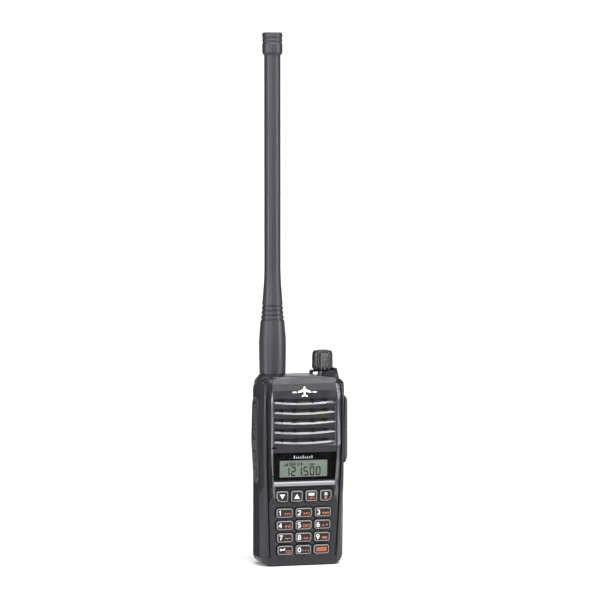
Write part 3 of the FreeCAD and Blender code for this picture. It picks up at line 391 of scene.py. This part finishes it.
def add_mesh(name, verts, faces, finish, body):
    mesh = bpy.data.meshes.new(name)
    mesh.from_pydata(verts, [], faces)
    mesh.validate()
    mesh.update()
    return add_piece(name, mesh, finish, body)


def take_mesh(name, bm):
    """Mesh made from a working mesh, which is freed."""
    mesh = bpy.data.meshes.new(name)
    bm.to_mesh(mesh)
    bm.free()
    return mesh


def face_front(bm):
    """Turns every face of a flat shape towards the front."""
    for face in bm.faces:
        face.normal_update()
        if face.normal.y > 0:
            face.normal_flip()


def split_long_edges(bm):
    """Cuts a flat shape finely enough to follow a curved surface."""
    for _ in range(DRAPE_PASSES):
        long_edges = [edge for edge in bm.edges if edge.calc_length() > DRAPE_EDGE]
        bmesh.ops.subdivide_edges(bm, edges=long_edges, cuts=1)
        bmesh.ops.triangulate(bm, faces=bm.faces)


def band(name, loops, finish, body):
    """Skin over a stack of matching loops; each loop is a list of (x, y, z) in metres."""
    n = len(loops[0])
    faces = []
    for k in range(len(loops) - 1):
        low, high = k * n, (k + 1) * n
        for i in range(n):
            j = (i + 1) % n
            faces.append((low + i, low + j, high + j, high + i))
    obj = add_mesh(name, [point for loop in loops for point in loop], faces, finish, body)
    shade(obj.data, BAND_CREASE)
    return obj


def plate(name, polygons, d_front, thick, finish, body, drape=None):
    """Thin raised shapes facing the front; polygons hold (x, z) in millimetres.

    With drape, a search tree of the case, they follow its surface, and d_front is their lift above it.
    """
    bm = bmesh.new()
    for poly in polygons:
        bm.faces.new([bm.verts.new((x, 0.0, z)) for x, z in poly])
    bmesh.ops.remove_doubles(bm, verts=bm.verts, dist=1e-4)
    bmesh.ops.triangulate(bm, faces=bm.faces)
    if drape is not None:
        split_long_edges(bm)
    face_front(bm)
    raised = bmesh.ops.extrude_face_region(bm, geom=list(bm.faces))
    for item in raised["geom"]:
        if isinstance(item, bmesh.types.BMVert):
            item.co.y = thick
    for vert in bm.verts:
        x, height, z = vert.co
        if drape is None:
            vert.co = at(x, d_front - height, z)
        else:
            start = Vector((x * MM, depth_y(RAY_START), (z + LIFT) * MM))
            hit = drape.ray_cast(start, Vector((0, 1, 0)))[0]
            vert.co = hit - Vector((0, (d_front + height) * MM, 0))
    bmesh.ops.recalc_face_normals(bm, faces=bm.faces)
    return add_piece(name, take_mesh(name, bm), finish, body)


def holed_sheet(name, outer, holes, d, finish, body):
    """Flat sheet on the front with openings left in it."""
    bm = bmesh.new()
    edges = []
    for loop in [outer] + holes:
        verts = [bm.verts.new(at(x, d, z)) for x, z in loop]
        edges += [bm.edges.new((verts[k], verts[(k + 1) % len(verts)])) for k in range(len(verts))]
    bmesh.ops.triangle_fill(bm, use_beauty=True, edges=edges)
    face_front(bm)
    return add_piece(name, take_mesh(name, bm), finish, body)


# ------------------------------------------------------------------ flat outlines, in millimetres

def rounded_loop(x0, x1, z0, z1, radii, steps=6):
    """Points around a rounded rectangle; radii run lower left, lower right, upper right, upper left."""
    corners = [(x0, z0, 180), (x1, z0, 270), (x1, z1, 0), (x0, z1, 90)]
    signs = [(1, 1), (-1, 1), (-1, -1), (1, -1)]
    points = []
    for (cx, cz, start), (sx, sz), r in zip(corners, signs, radii):
        r = max(r, SMALLEST_RADIUS)
        ox, oz = cx + sx * r, cz + sz * r
        for i in range(steps + 1):
            a = math.radians(start + 90.0 * i / steps)
            points.append((ox + r * math.cos(a), oz + r * math.sin(a)))
    return points


def bar(x0, x1, z0, z1):
    return [(x0, z0), (x1, z0), (x1, z1), (x0, z1)]


def disc(x, z, r, n=14):
    turns = [2 * math.pi * i / n for i in range(n)]
    return [(x + r * math.cos(a), z + r * math.sin(a)) for a in turns]


def stroke(points, w, closed=False):
    """Pen line of width w through the points, as quads with mitred corners."""
    n = len(points)
    left, right = [], []
    for i, (x, z) in enumerate(points):
        before = points[i - 1] if (i > 0 or closed) else None
        after = points[(i + 1) % n] if (i < n - 1 or closed) else None
        ways = []
        if before:
            ways.append((x - before[0], z - before[1]))
        if after:
            ways.append((after[0] - x, after[1] - z))
        units = [(dx / math.hypot(dx, dz), dz / math.hypot(dx, dz)) for dx, dz in ways]
        tx, tz = sum(u[0] for u in units), sum(u[1] for u in units)
        size = math.hypot(tx, tz)
        tx, tz = tx / size, tz / size
        reach = w / 2 / max(MITRE_LIMIT, tx * units[0][0] + tz * units[0][1])
        left.append((x - tz * reach, z + tx * reach))
        right.append((x + tz * reach, z - tx * reach))
    joints = [(i, (i + 1) % n) for i in range(n if closed else n - 1)]
    return [[left[i], right[i], right[j], left[j]] for i, j in joints]


def arc_points(x, z, rx, rz, start, end, n=8):
    angles = [math.radians(start + (end - start) * i / n) for i in range(n + 1)]
    return [(x + rx * math.cos(a), z + rz * math.sin(a)) for a in angles]


def oval(x, z, rx, rz, pen, n=20):
    return stroke(arc_points(x, z, rx, rz, 0, 360 - 360 / n, n - 1), pen, closed=True)


# ------------------------------------------------------------------ digits and icons

def digit(char, x, z, w, h, pen):
    """One numeral drawn with a pen; x and z are its centre, w and h its outer size."""
    a, b = (w - pen) / 2, (h - pen) / 2

    def line(points):
        return stroke([(x + px, z + pz) for px, pz in points], pen)

    if char == "1":
        return line([(-0.75 * a, 0.55 * b), (0.15 * a, b), (0.15 * a, -b)])
    if char == "2":
        return line(arc_points(0, b - a, a, a, 165, -30, 10) + [(-a, -b), (a, -b)])
    if char == "3":
        return line(arc_points(-0.05, 0.52 * b, 0.86 * a, 0.48 * b, 150, -85, 10)) + \
            line(arc_points(-0.05, -0.46 * b, a, 0.54 * b, 85, -150, 11))
    if char == "4":
        return line([(0.4 * a, -b), (0.4 * a, b)]) + line([(0.4 * a, b), (-a, -0.35 * b), (a, -0.35 * b)])
    if char == "5":
        return line([(0.85 * a, b), (-0.7 * a, b), (-0.8 * a, 0.08 * b)]) + \
            line([(-0.8 * a, 0.02 * b)] + arc_points(-0.02, -0.42 * b, a, 0.58 * b, 120, -145, 12))
    if char in "69":
        turn = 1 if char == "6" else -1
        tail = arc_points(0.75 * a, -0.42 * b, 1.75 * a, 1.42 * b, 180, 100, 8)
        tail = [(turn * px, turn * pz) for px, pz in tail]
        return oval(x, z - turn * 0.42 * b, a, 0.58 * b, pen) + line(tail)
    if char == "7":
        return line([(-a, b), (a, b), (-0.3 * a, -b)])
    if char == "8":
        return oval(x, z + 0.52 * b, 0.82 * a, 0.48 * b, pen) + oval(x, z - 0.46 * b, a, 0.54 * b, pen)
    return oval(x, z, a, b, pen)


ICON_PEN = 0.34


def icon(kind, x, z):
    """Small generic marks, about 4 mm wide, that stand where the keys carry function names."""
    def line(*points):
        return stroke([(x + px, z + pz) for px, pz in points], ICON_PEN)

    def shape(*points):
        return [(x + px, z + pz) for px, pz in points]

    def block(x0, x1, z0, z1):
        return bar(x + x0, x + x1, z + z0, z + z1)

    marks = {
        "wave": line((-2.0, -0.5), (-1.2, 0.6), (-0.4, -0.5), (0.4, 0.6), (1.2, -0.5), (2.0, 0.6)),
        "skip": [shape((-1.9, -0.75), (-0.5, 0), (-1.9, 0.75)),
                 shape((-0.3, -0.75), (1.1, 0), (-0.3, 0.75)), block(1.35, 1.8, -0.75, 0.75)],
        "group": [block(-2.0, -0.9, -0.6, 0.5), block(-0.55, 0.55, -0.6, 0.5), block(0.9, 2.0, -0.6, 0.5)],
        "lamp": [disc(x - 0.9, z, 0.7)] + line((0.2, 0.55), (1.9, 0.75)) + line((0.2, 0), (2.0, 0))
                + line((0.2, -0.55), (1.9, -0.75)),
        "frame": line((-2.0, -0.65), (2.0, -0.65), (2.0, 0.6), (-2.0, 0.6), (-2.0, -0.65))
                 + [block(-0.8, 0.8, -0.25, 0.2)],
        "updown": [shape((-2.0, -0.5), (-0.2, -0.5), (-1.1, 0.7)),
                   shape((0.2, 0.6), (1.1, -0.6), (2.0, 0.6))],
        "sun": [disc(x, z, 0.55)] + line((-1.9, 0), (-0.95, 0)) + line((0.95, 0), (1.9, 0))
               + line((-1.4, 0.7), (-0.8, 0.45)) + line((0.8, 0.45), (1.4, 0.7)),
        "tone": [block(-2.0, -1.5, -0.3, 0.2), block(-1.1, -0.6, -0.55, 0.45),
                 block(-0.2, 0.3, -0.75, 0.75), block(0.7, 1.2, -0.55, 0.45), block(1.5, 2.0, -0.3, 0.2)],
        "tag": [shape((-1.9, 0), (-1.0, -0.65), (1.6, -0.65), (1.6, 0.65), (-1.0, 0.65))],
        "dots": [disc(x - 1.6, z, 0.42), disc(x, z, 0.42), disc(x + 1.6, z, 0.42)],
        "home": [shape((-1.1, 0), (0, 0.85), (1.1, 0)), block(-0.75, 0.75, -0.75, 0.02)],
        "list": [block(-1.6, 1.6, 0.3, 0.7), block(-1.6, 1.6, -0.6, -0.2)],
    }
    return marks[kind]


# ------------------------------------------------------------------ finishes of the front case

SLOT_HALF = 18.8             # loudspeaker slots: half width, heights and depths of their walls
SLOT_Z = (70.0, 98.5)
SLOT_D = (0.85, 3.0)
BEVEL_X = (17.8, 20.6)       # bevel between the panel and the strips beside it
BEVEL_TOP_Z = 95.0
BEVEL_D = 1.2
BEVEL_TOP_D = 5.0
LEDGE_HALF = 20.0            # lower edge of the recess around the upper keys
LEDGE_Z = (36.5, 42.5)
STRIP_Z = (36.0, 106.0)      # strip between the bevel and the grooves beside it
STRIP_D = (0.9, 3.4)
STRIP_INSIDE = (2.9, 0.5)    # how far inside the middle of the grooves the strip starts and ends
GROOVE_REACH = 0.6
GROOVE_D = (1.0, 3.4)
# height and half distance between the grooves
GROOVE_LINE = ((4.5, 20.2), (46.0, 22.0), (62.0, 22.7), (98.0, 22.9), (108.0, 21.9))
KEY_FIELD = {"half_width": 17.7, "z_span": (38.1, 46.3), "d_span": (0.25, 3.2)}
WINDOW_FIELD = {"half_width": 18.9, "z_span": (49.9, 66.6), "d_span": (0.15, 3.2)}
SIDE_NORMAL = 0.9            # least part of the normal that makes a face a side, a bevel or a leaning one
BEVEL_NORMAL = 0.4
LEAN_NORMAL = 0.3
BACK_NORMAL = 0.05           # a face that looks forward by less than this is left alone


def within(value, span):
    return span[0] < value < span[1]


def groove_half(z):
    """Half distance between the two grooves beside the front at one height."""
    if z <= GROOVE_LINE[0][0]:
        return GROOVE_LINE[0][1]
    for (z0, half0), (z1, half1) in zip(GROOVE_LINE, GROOVE_LINE[1:]):
        if z <= z1:
            return half0 + (half1 - half0) * (z - z0) / (z1 - z0)
    return GROOVE_LINE[-1][1]


def front_finish(x, d, z, normal):
    """Finish of a face of the front by its place and the way it looks, or None to leave it as it is."""
    aside = abs(x)
    half = groove_half(z)
    in_groove = within(aside, (half - GROOVE_REACH, half + GROOVE_REACH))
    on_slots = within(z, SLOT_Z) and aside < SLOT_HALF
    outward = normal.x if x > 0 else -normal.x
    forward = normal.y < -LEAN_NORMAL
    # Walls and floors of the slots get painted shade.
    if on_slots and within(d, SLOT_D):
        return "painted_shade"
    if normal.y > -BACK_NORMAL and not in_groove:
        return None
    bevel_d = BEVEL_D if z < BEVEL_TOP_Z else BEVEL_TOP_D
    # The left bevel gets a painted highlight and the right bevel painted shade.
    if within(aside, BEVEL_X) and d < bevel_d and outward > BEVEL_NORMAL and forward:
        return "painted_highlight" if x < 0 else "painted_shade"
    # The lower edge of the key recess gets a painted highlight.
    if within(z, LEDGE_Z) and aside < LEDGE_HALF and d < BEVEL_D and normal.z < -LEAN_NORMAL and forward:
        return "painted_highlight"
    # The lips under the slots get a painted highlight.
    if on_slots and normal.z > LEAN_NORMAL and forward:
        return "painted_highlight"
    on_strip = within(aside, (half - STRIP_INSIDE[0], half - STRIP_INSIDE[1])) and within(z, STRIP_Z)
    # The left strip gets painted shade, the right strip a painted highlight.
    if on_strip and within(d, STRIP_D):
        return "painted_shade" if x < 0 else "painted_strip_highlight"
    # The grooves get painted shade.
    if in_groove and within(d, GROOVE_D):
        return "painted_shade"
    return None


def paint_front_edges(obj):
    """Painted highlights and shade on the front: a shinier finish on the left bevel, the key recess's
    lower edge and the slot lips, a satin one on the right strip, a darker one on the right bevel, the left
    strip, the grooves and the slot walls.
    """
    number = {key: add_finish(obj, key) for key in ("painted_highlight", "painted_shade", "painted_strip_highlight")}
    for face in obj.data.polygons:
        key = front_finish(*flat_place(face), face.normal)
        if key is not None:
            face.material_index = number[key]


def paint_sides(obj, finish):
    """Gives the faces that look left or right another finish."""
    number = add_finish(obj, finish)
    for face in obj.data.polygons:
        if abs(face.normal.x) > SIDE_NORMAL:
            face.material_index = number


def paint_zone(obj, finish, half_width, z_span, d_span):
    """Gives another finish to the faces of a piece that lie in one box of the leaning front."""
    number = add_finish(obj, finish)
    for face in obj.data.polygons:
        x, d, z = flat_place(face)
        if abs(x) < half_width and within(z, z_span) and within(d, d_span):
            face.material_index = number


# ------------------------------------------------------------------ keys

# inset from a key's edge and depth below its crown, along the ring's section
RING_PROFILE = ((0.0, 0.42), (-0.02, 0.30), (0.10, 0.06), (0.26, -0.05), (0.58, -0.05), (0.72, 0.06))
RING_RADIUS = 0.12           # least corner radius of the ring
FIELD_INSET = 0.68
FIELD_LIFT = 0.01
PRINT_LIFT = 0.012           # printed marks start this far in front of a key's crown
PRINT_THICK = 0.03
FN_NAMES = ("key_down", "key_up", "key_recall", "key_clear")
FN_X = (-13.3, -4.43, 4.43, 13.3)
FN_Z = 40.5
FN_HALF_W = 3.55
FN_HALF_H = 3.25
FN_RADIUS = 1.3
FN_END_RADIUS = 3.0          # lower outer corners of the row
FN_TOP = -0.2
PAD_Z = (30.6, 23.25, 15.85, 8.4)
PAD_PITCH = (11.75, 11.55, 11.35, 11.1)
PAD_W = (10.0, 9.8, 9.6, 9.4)
PAD_HALF_H = 2.725
PAD_RADIUS = 1.4
PAD_TOP = -0.05
PAD_LABEL = (("1", "2", "3"), ("4", "5", "6"), ("7", "8", "9"), ("enter", "0", "func"))
PAD_ICON = {"1": "wave", "2": "skip", "3": "group", "4": "lamp", "5": "frame", "6": "updown", "7": "sun",
            "8": "tone", "9": "tag", "0": "dots"}
DIGIT_W = 2.05
DIGIT_H = 3.0
DIGIT_PEN = 0.41


def key_ring(name, x0, x1, z0, z1, radii, top):
    """Pale ring around a key's crown, with a darker field inside it."""
    def loop(inset, d):
        inner = [max(r - inset, RING_RADIUS) for r in radii]
        points = rounded_loop(x0 + inset, x1 - inset, z0 + inset, z1 - inset, inner)
        return [at(x, d, z) for x, z in points]

    loops = [loop(inset, top + drop) for inset, drop in RING_PROFILE]
    band(name + "_ring", loops, "ring", name)
    field_d = top - FIELD_LIFT
    field = loop(FIELD_INSET, field_d)
    n = len(field)
    centre = at((x0 + x1) / 2, field_d, (z0 + z1) / 2)
    fan = [(i, (i + 1) % n, n) for i in range(n)]
    add_mesh(name + "_field", field + [centre], fan, "key_core", name)


def key_print(name, white, orange, top):
    """White and orange marks on a key's crown, where there are any."""
    for ink, shapes in (("white", white), ("orange", orange)):
        if shapes:
            plate(name + "_" + ink, shapes, top - PRINT_LIFT, PRINT_THICK, ink, name)


def function_print(name, x, z):
    """Marks of one of the four upper keys."""
    if name == "key_down":
        key_print(name, [[(x - 1.6, z + 1.3), (x, z - 1.35), (x + 1.6, z + 1.3)]], [], FN_TOP)
    elif name == "key_up":
        key_print(name, [[(x - 1.6, z - 1.35), (x + 1.6, z - 1.35), (x, z + 1.3)]], [], FN_TOP)
    elif name == "key_recall":
        lines = [bar(x - 1.8, x + 1.8, z + 1.25, z + 1.7), bar(x - 1.8, x + 1.8, z + 0.3, z + 0.75)]
        key_print(name, lines, icon("tone", x, z - 1.15), FN_TOP)
    else:
        cross = stroke([(x - 0.75, z + 0.2), (x + 0.75, z + 1.7)], 0.45) \
            + stroke([(x - 0.75, z + 1.7), (x + 0.75, z + 0.2)], 0.45)
        key_print(name, cross, icon("home", x - 0.1, z - 1.15), FN_TOP)


def build_pad_key(label, x, z, w):
    name = "key_" + label
    key_ring(name, x - w / 2, x + w / 2, z - PAD_HALF_H, z + PAD_HALF_H, [PAD_RADIUS] * 4, PAD_TOP)
    if label == "enter":
        white = stroke([(x - 0.4, z + 1.45), (x - 0.4, z + 0.35), (x - 2.6, z + 0.35)], 0.42)
        white.append([(x - 3.5, z + 0.35), (x - 2.3, z - 0.45), (x - 2.3, z + 1.15)])
        key_print(name, white, icon("list", x + 1.9, z - 0.8), PAD_TOP)
    elif label == "func":
        block = rounded_loop(x - 3.05, x + 3.05, z - 1.2, z + 1.2, [0.3] * 4, 3)
        key_print(name, [], [block], PAD_TOP)
        dots = [disc(x + k * 1.5, z, 0.36) for k in (-1, 0, 1)]
        block_top = PAD_TOP - PRINT_LIFT - PRINT_THICK
        plate(name + "_mark", dots, block_top, 0.01, "segment", name)
    else:
        white = digit(label, x - w / 2 + 2.2, z + 0.05, DIGIT_W, DIGIT_H, DIGIT_PEN)
        key_print(name, white, icon(PAD_ICON[label], x + w / 2 - 3.35, z - 0.45), PAD_TOP)


def build_keys():
    for name, x in zip(FN_NAMES, FN_X):
        left = FN_END_RADIUS if x == FN_X[0] else FN_RADIUS
        right = FN_END_RADIUS if x == FN_X[-1] else FN_RADIUS
        radii = [left, right, FN_RADIUS, FN_RADIUS]
        key_ring(name, x - FN_HALF_W, x + FN_HALF_W, FN_Z - FN_HALF_H, FN_Z + FN_HALF_H, radii, FN_TOP)
    for name, x in zip(FN_NAMES, FN_X):
        function_print(name, x, FN_Z)
    for labels, pitch, z, w in zip(PAD_LABEL, PAD_PITCH, PAD_Z, PAD_W):
        for column, label in enumerate(labels):
            build_pad_key(label, (column - 1) * pitch, z, w)


# ------------------------------------------------------------------ display

LCD_X = (-14.8, 14.3)
LCD_Z = (51.8, 61.6)
WINDOW_EDGE = [(-18.6, 50.1), (18.6, 50.1), (19.2, 66.4), (-19.2, 66.4)]
WINDOW_PRINT_D = 1.32        # black print behind the pane
LCD_D = 1.50                 # glass behind the print
LCD_THICK = 0.02
LCD_MARGIN = 1.0             # glass hidden behind the print, and less of it below
LCD_LOW_MARGIN = 0.2
INK_THICK = 0.012
INK_GAP = 0.002
FREQUENCY = "121.500"
FREQUENCY_X = -10.2          # middle of the first digit
FREQUENCY_Z = 55.1
POINT = {"back": 1.85, "z": 52.8, "radius": 0.38}      # back from the digit that follows
SEGMENTS = {"width": 2.15, "height": 4.7, "pen": 0.76, "pitch": 3.8}
SEGMENTS_LIT = {"0": "abcdef", "1": "bc", "2": "abged", "3": "abgcd", "4": "fgbc", "5": "afgcd",
                "6": "afgedc", "7": "abc", "8": "abcdefg", "9": "abcdfg"}
SEGMENT_GAP = 0.08
STATUS_Z = (58.3, 60.4)
STATUS_MID_Z = 59.35
TICK_X = -6.0                # first tick of the scale above the glass
TICK_PITCH = 1.35
TICK_HALF_W = 0.19
TICK_Z = 62.7
TICK_TOP_Z = 63.8
TICK_LONG_Z = 64.4
TICKS = 9


def seven_segment(char, x, z):
    """One digit of the frequency, with its middle at x and z."""
    half_w, half_h = SEGMENTS["width"] / 2, SEGMENTS["height"] / 2
    left, right, low, high = x - half_w, x + half_w, z - half_h, z + half_h
    gap = SEGMENT_GAP
    lines = {
        "a": ((left, high), (right, high)),
        "b": ((right, high - gap), (right, z + gap)),
        "c": ((right, z - gap), (right, low + gap)),
        "d": ((left, low), (right, low)),
        "e": ((left, z - gap), (left, low + gap)),
        "f": ((left, high - gap), (left, z + gap)),
        "g": ((left + gap, z), (right - gap, z)),
    }
    polygons = []
    for part in SEGMENTS_LIT[char]:
        polygons += stroke(lines[part], SEGMENTS["pen"])
    return polygons


def frequency_marks():
    """Digits and the point between them."""
    polygons = []
    x = FREQUENCY_X
    for char in FREQUENCY:
        if char == ".":
            polygons.append(disc(x - POINT["back"], POINT["z"], POINT["radius"], 8))
        else:
            polygons += seven_segment(char, x, FREQUENCY_Z)
            x += SEGMENTS["pitch"]
    return polygons


def status_marks():
    """Row of small marks above the frequency: signal bars, battery, ring, arrow and four ticks."""
    low, high = STATUS_Z
    bars = [bar(-12.4 + k * 0.75, -11.9 + k * 0.75, low, low + 0.6 + k * 0.5) for k in range(4)]
    battery = [(-8.7, low + 0.15), (-5.3, low + 0.15), (-5.3, high - 0.15), (-8.7, high - 0.15)]
    cells = [bar(-8.3 + k * 0.95, -7.65 + k * 0.95, low + 0.5, high - 0.5) for k in range(3)]
    ring = oval(-3.4, STATUS_MID_Z, 0.8, 0.85, 0.3, 12)
    ring_mark = [bar(-3.55, -3.25, 59.0, 59.7)]
    arrow = [[(-1.9, low + 0.1), (-0.4, STATUS_MID_Z), (-1.9, high - 0.1)]]
    ticks = [bar(3.4 + k * 0.8, 3.85 + k * 0.8, low, low + 1.3) for k in range(4)]
    return bars + stroke(battery, 0.3, closed=True) + cells + ring + ring_mark + arrow + ticks


def scale_marks():
    """Plain tick scale above the glass, every fourth tick longer."""
    marks = []
    for k in range(TICKS):
        x = TICK_X + k * TICK_PITCH
        top = TICK_LONG_Z if k % 4 == 0 else TICK_TOP_Z
        marks.append(bar(x - TICK_HALF_W, x + TICK_HALF_W, TICK_Z, top))
    return marks


def build_display():
    opening = rounded_loop(*LCD_X, *LCD_Z, [0.5] * 4, 3)
    holed_sheet("window_print", WINDOW_EDGE, [opening], WINDOW_PRINT_D, "black", "radio")
    glass = rounded_loop(LCD_X[0] - LCD_MARGIN, LCD_X[1] + LCD_MARGIN, LCD_Z[0] - LCD_LOW_MARGIN,
                         LCD_Z[1] + LCD_MARGIN, [0.3] * 4, 2)
    plate("lcd_face", [glass], LCD_D, LCD_THICK, "lcd", "radio")
    marks = frequency_marks() + status_marks()
    plate("lcd_marks", marks, LCD_D - LCD_THICK - INK_GAP, INK_THICK, "segment", "radio")
    plate("window_scale", scale_marks(), WINDOW_PRINT_D - INK_GAP, INK_THICK, "white", "radio")


# ------------------------------------------------------------------ front emblem

EMBLEM_Z = 102.4
EMBLEM_LIFT = 0.01
EMBLEM_THICK = 0.03


def build_emblem(case_tree):
    """Small aeroplane seen from above with a plain bar either side."""
    z = EMBLEM_Z
    fuselage = [(-0.5, z - 2.6), (0.5, z - 2.6), (0.62, z + 1.9), (0.0, z + 3.1), (-0.62, z + 1.9)]
    left_wing = [(-4.0, z - 0.8), (-0.4, z - 0.1), (-0.4, z + 1.5), (-4.0, z + 0.1)]
    right_wing = [(-px, pz) for px, pz in reversed(left_wing)]
    tail = [(-1.7, z - 3.1), (0.0, z - 2.6), (1.7, z - 3.1), (1.7, z - 2.4), (0.3, z - 1.7),
            (-0.3, z - 1.7), (-1.7, z - 2.4)]
    bars = [bar(-7.3, -5.0, z - 0.75, z - 0.05), bar(5.0, 7.3, z - 0.75, z - 0.05)]
    shapes = [fuselage, left_wing, right_wing, tail] + bars
    plate("front_emblem", shapes, EMBLEM_LIFT, EMBLEM_THICK, "white", "radio",
          drape=case_tree)


# ------------------------------------------------------------------ build

for node, obj in NODES.items():
    paint(obj, NODE_FINISH.get(node, "key"))
    shade(obj.data, CAD_CREASE)

case = smoothed("front_case", "case", CASE_CREASE)
# Sides: matte finish without sheen, partly painted shade.
paint_sides(case, "case_side")
paint_front_edges(case)
# The recess around the four upper keys is made darker with a duller finish.
paint_zone(case, "recess", **KEY_FIELD)
paint_zone(case, "black", **WINDOW_FIELD)
for node in SMOOTHED:
    smoothed(node, NODE_FINISH[node])

build_keys()
build_display()
build_emblem(BVHTree.FromObject(case, bpy.context.evaluated_depsgraph_get()))

# ------------------------------------------------------------------ stage: floor, lights, camera

AZIMUTH = math.radians(-16.0)
FLOOR_PROFILE = ((-0.45, 0.0), (0.7, 0.0), (0.88, 0.03), (1.0, 0.12), (1.05, 0.28), (1.06, 0.75))
FLOOR_HALF = 0.55
WORLD_STRENGTH = 0.12
LIGHT_REACH = 1.1
LIGHT_AIM = Vector((0.0, 0.0, 0.16))
# name, azimuth and elevation in degrees, width and height in metres, power in watts
SOFTBOXES = (
    ("overhead", 0.0, 70.0, 1.0, 0.50, 25.0),
    ("front_top", 4.0, 27.0, 0.7, 0.17, 10.5),
    ("left_front", -38.0, 14.0, 0.14, 0.9, 8.5),
    ("left_strip", -76.0, 4.0, 0.24, 1.1, 15.0),
    ("right_strip", 54.0, 8.0, 0.32, 1.1, 16.0),
)
BACKDROP_LIGHT = {"width": 1.0, "height": 0.4, "power": 8.0}
BACKDROP_LIGHT_PLACE = (0.0, 0.35, 1.0)
BACKDROP_LIGHT_AIM = (0.0, 1.0, 0.2)
DISTANCE = 1.8
CAMERA_Z = 0.2612
CAMERA_AIM_Z = 0.15744
CAMERA_AIM_ASIDE = -2.88 * MM
SENSOR = 36.0
LENS = 184.56
CLIP_START = 0.05


def turned(right, away, z):
    """Point given in the camera's own right and away directions."""
    cos, sin = math.cos(AZIMUTH), math.sin(AZIMUTH)
    return (right * cos - away * sin, right * sin + away * cos, z)


def point_at(obj, place, target):
    """Puts a light or camera at a place and turns it to a target."""
    obj.location = place
    obj.rotation_euler = (target - place).to_track_quat("-Z", "Y").to_euler()


def build_stage():
    """Pale floor that sweeps up into a narrow backdrop."""
    verts = []
    for y, z in FLOOR_PROFILE:
        verts += [turned(-FLOOR_HALF, y, z), turned(FLOOR_HALF, y, z)]
    faces = [(2 * i, 2 * i + 1, 2 * i + 3, 2 * i + 2) for i in range(len(FLOOR_PROFILE) - 1)]
    mesh = bpy.data.meshes.new("floor")
    mesh.from_pydata(verts, [], faces)
    mesh.shade_smooth()
    floor = link(bpy.data.objects.new("floor", mesh))
    floor.data.materials.append(surface("floor_finish", (0.55, 0.55, 0.55), 0.9, blotch=0.01, spec=0.05))
    floor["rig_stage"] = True


def area_light(name, place, target, width, height, power):
    data = bpy.data.lights.new(name, "AREA")
    data.shape = "RECTANGLE"
    data.size = width
    data.size_y = height
    data.energy = power
    point_at(link(bpy.data.objects.new(name, data)), place, target)


def softbox(name, azimuth, elevation, width, height, power):
    """Rectangular studio light that looks at the object from a given direction."""
    a, e = math.radians(azimuth), math.radians(elevation)
    direction = Vector((math.sin(a) * math.cos(e), -math.cos(a) * math.cos(e), math.sin(e)))
    area_light(name, LIGHT_AIM + LIGHT_REACH * direction, LIGHT_AIM, width, height, power)


def build_lights():
    world = bpy.data.worlds.new("studio")
    world.use_nodes = True
    background = world.node_tree.nodes["Background"]
    background.inputs["Color"].default_value = (1.0, 1.0, 1.0, 1.0)
    background.inputs["Strength"].default_value = WORLD_STRENGTH
    bpy.context.scene.world = world
    for row in SOFTBOXES:
        softbox(*row)
    place = Vector(turned(*BACKDROP_LIGHT_PLACE))
    target = Vector(turned(*BACKDROP_LIGHT_AIM))
    area_light("backdrop_light", place, target, **BACKDROP_LIGHT)


def build_camera():
    data = bpy.data.cameras.new("camera")
    data.sensor_width = SENSOR
    data.lens = LENS
    data.clip_start = CLIP_START
    right = Vector(turned(1.0, 0.0, 0.0))
    away = Vector(turned(0.0, 1.0, 0.0))
    target = Vector((0.0, FRONT_Y * MM, CAMERA_AIM_Z)) + right * CAMERA_AIM_ASIDE
    place = target - away * DISTANCE
    place.z = CAMERA_Z
    camera = link(bpy.data.objects.new("camera", data))
    point_at(camera, place, target)
    bpy.context.scene.camera = camera


build_stage()
build_lights()
build_camera()
bpy.context.scene.view_settings.view_transform = "Standard"

SIZE_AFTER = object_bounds()


def plain(value):
    """The same value made of types that a json file can hold."""
    if isinstance(value, dict):
        return {k: plain(v) for k, v in value.items()}
    if isinstance(value, (list, tuple)):
        return [plain(v) for v in value]
    if isinstance(value, Vector):
        return [float(v) for v in value]
    return value


{"before": plain(SIZE_BEFORE), "after": plain(SIZE_AFTER)}
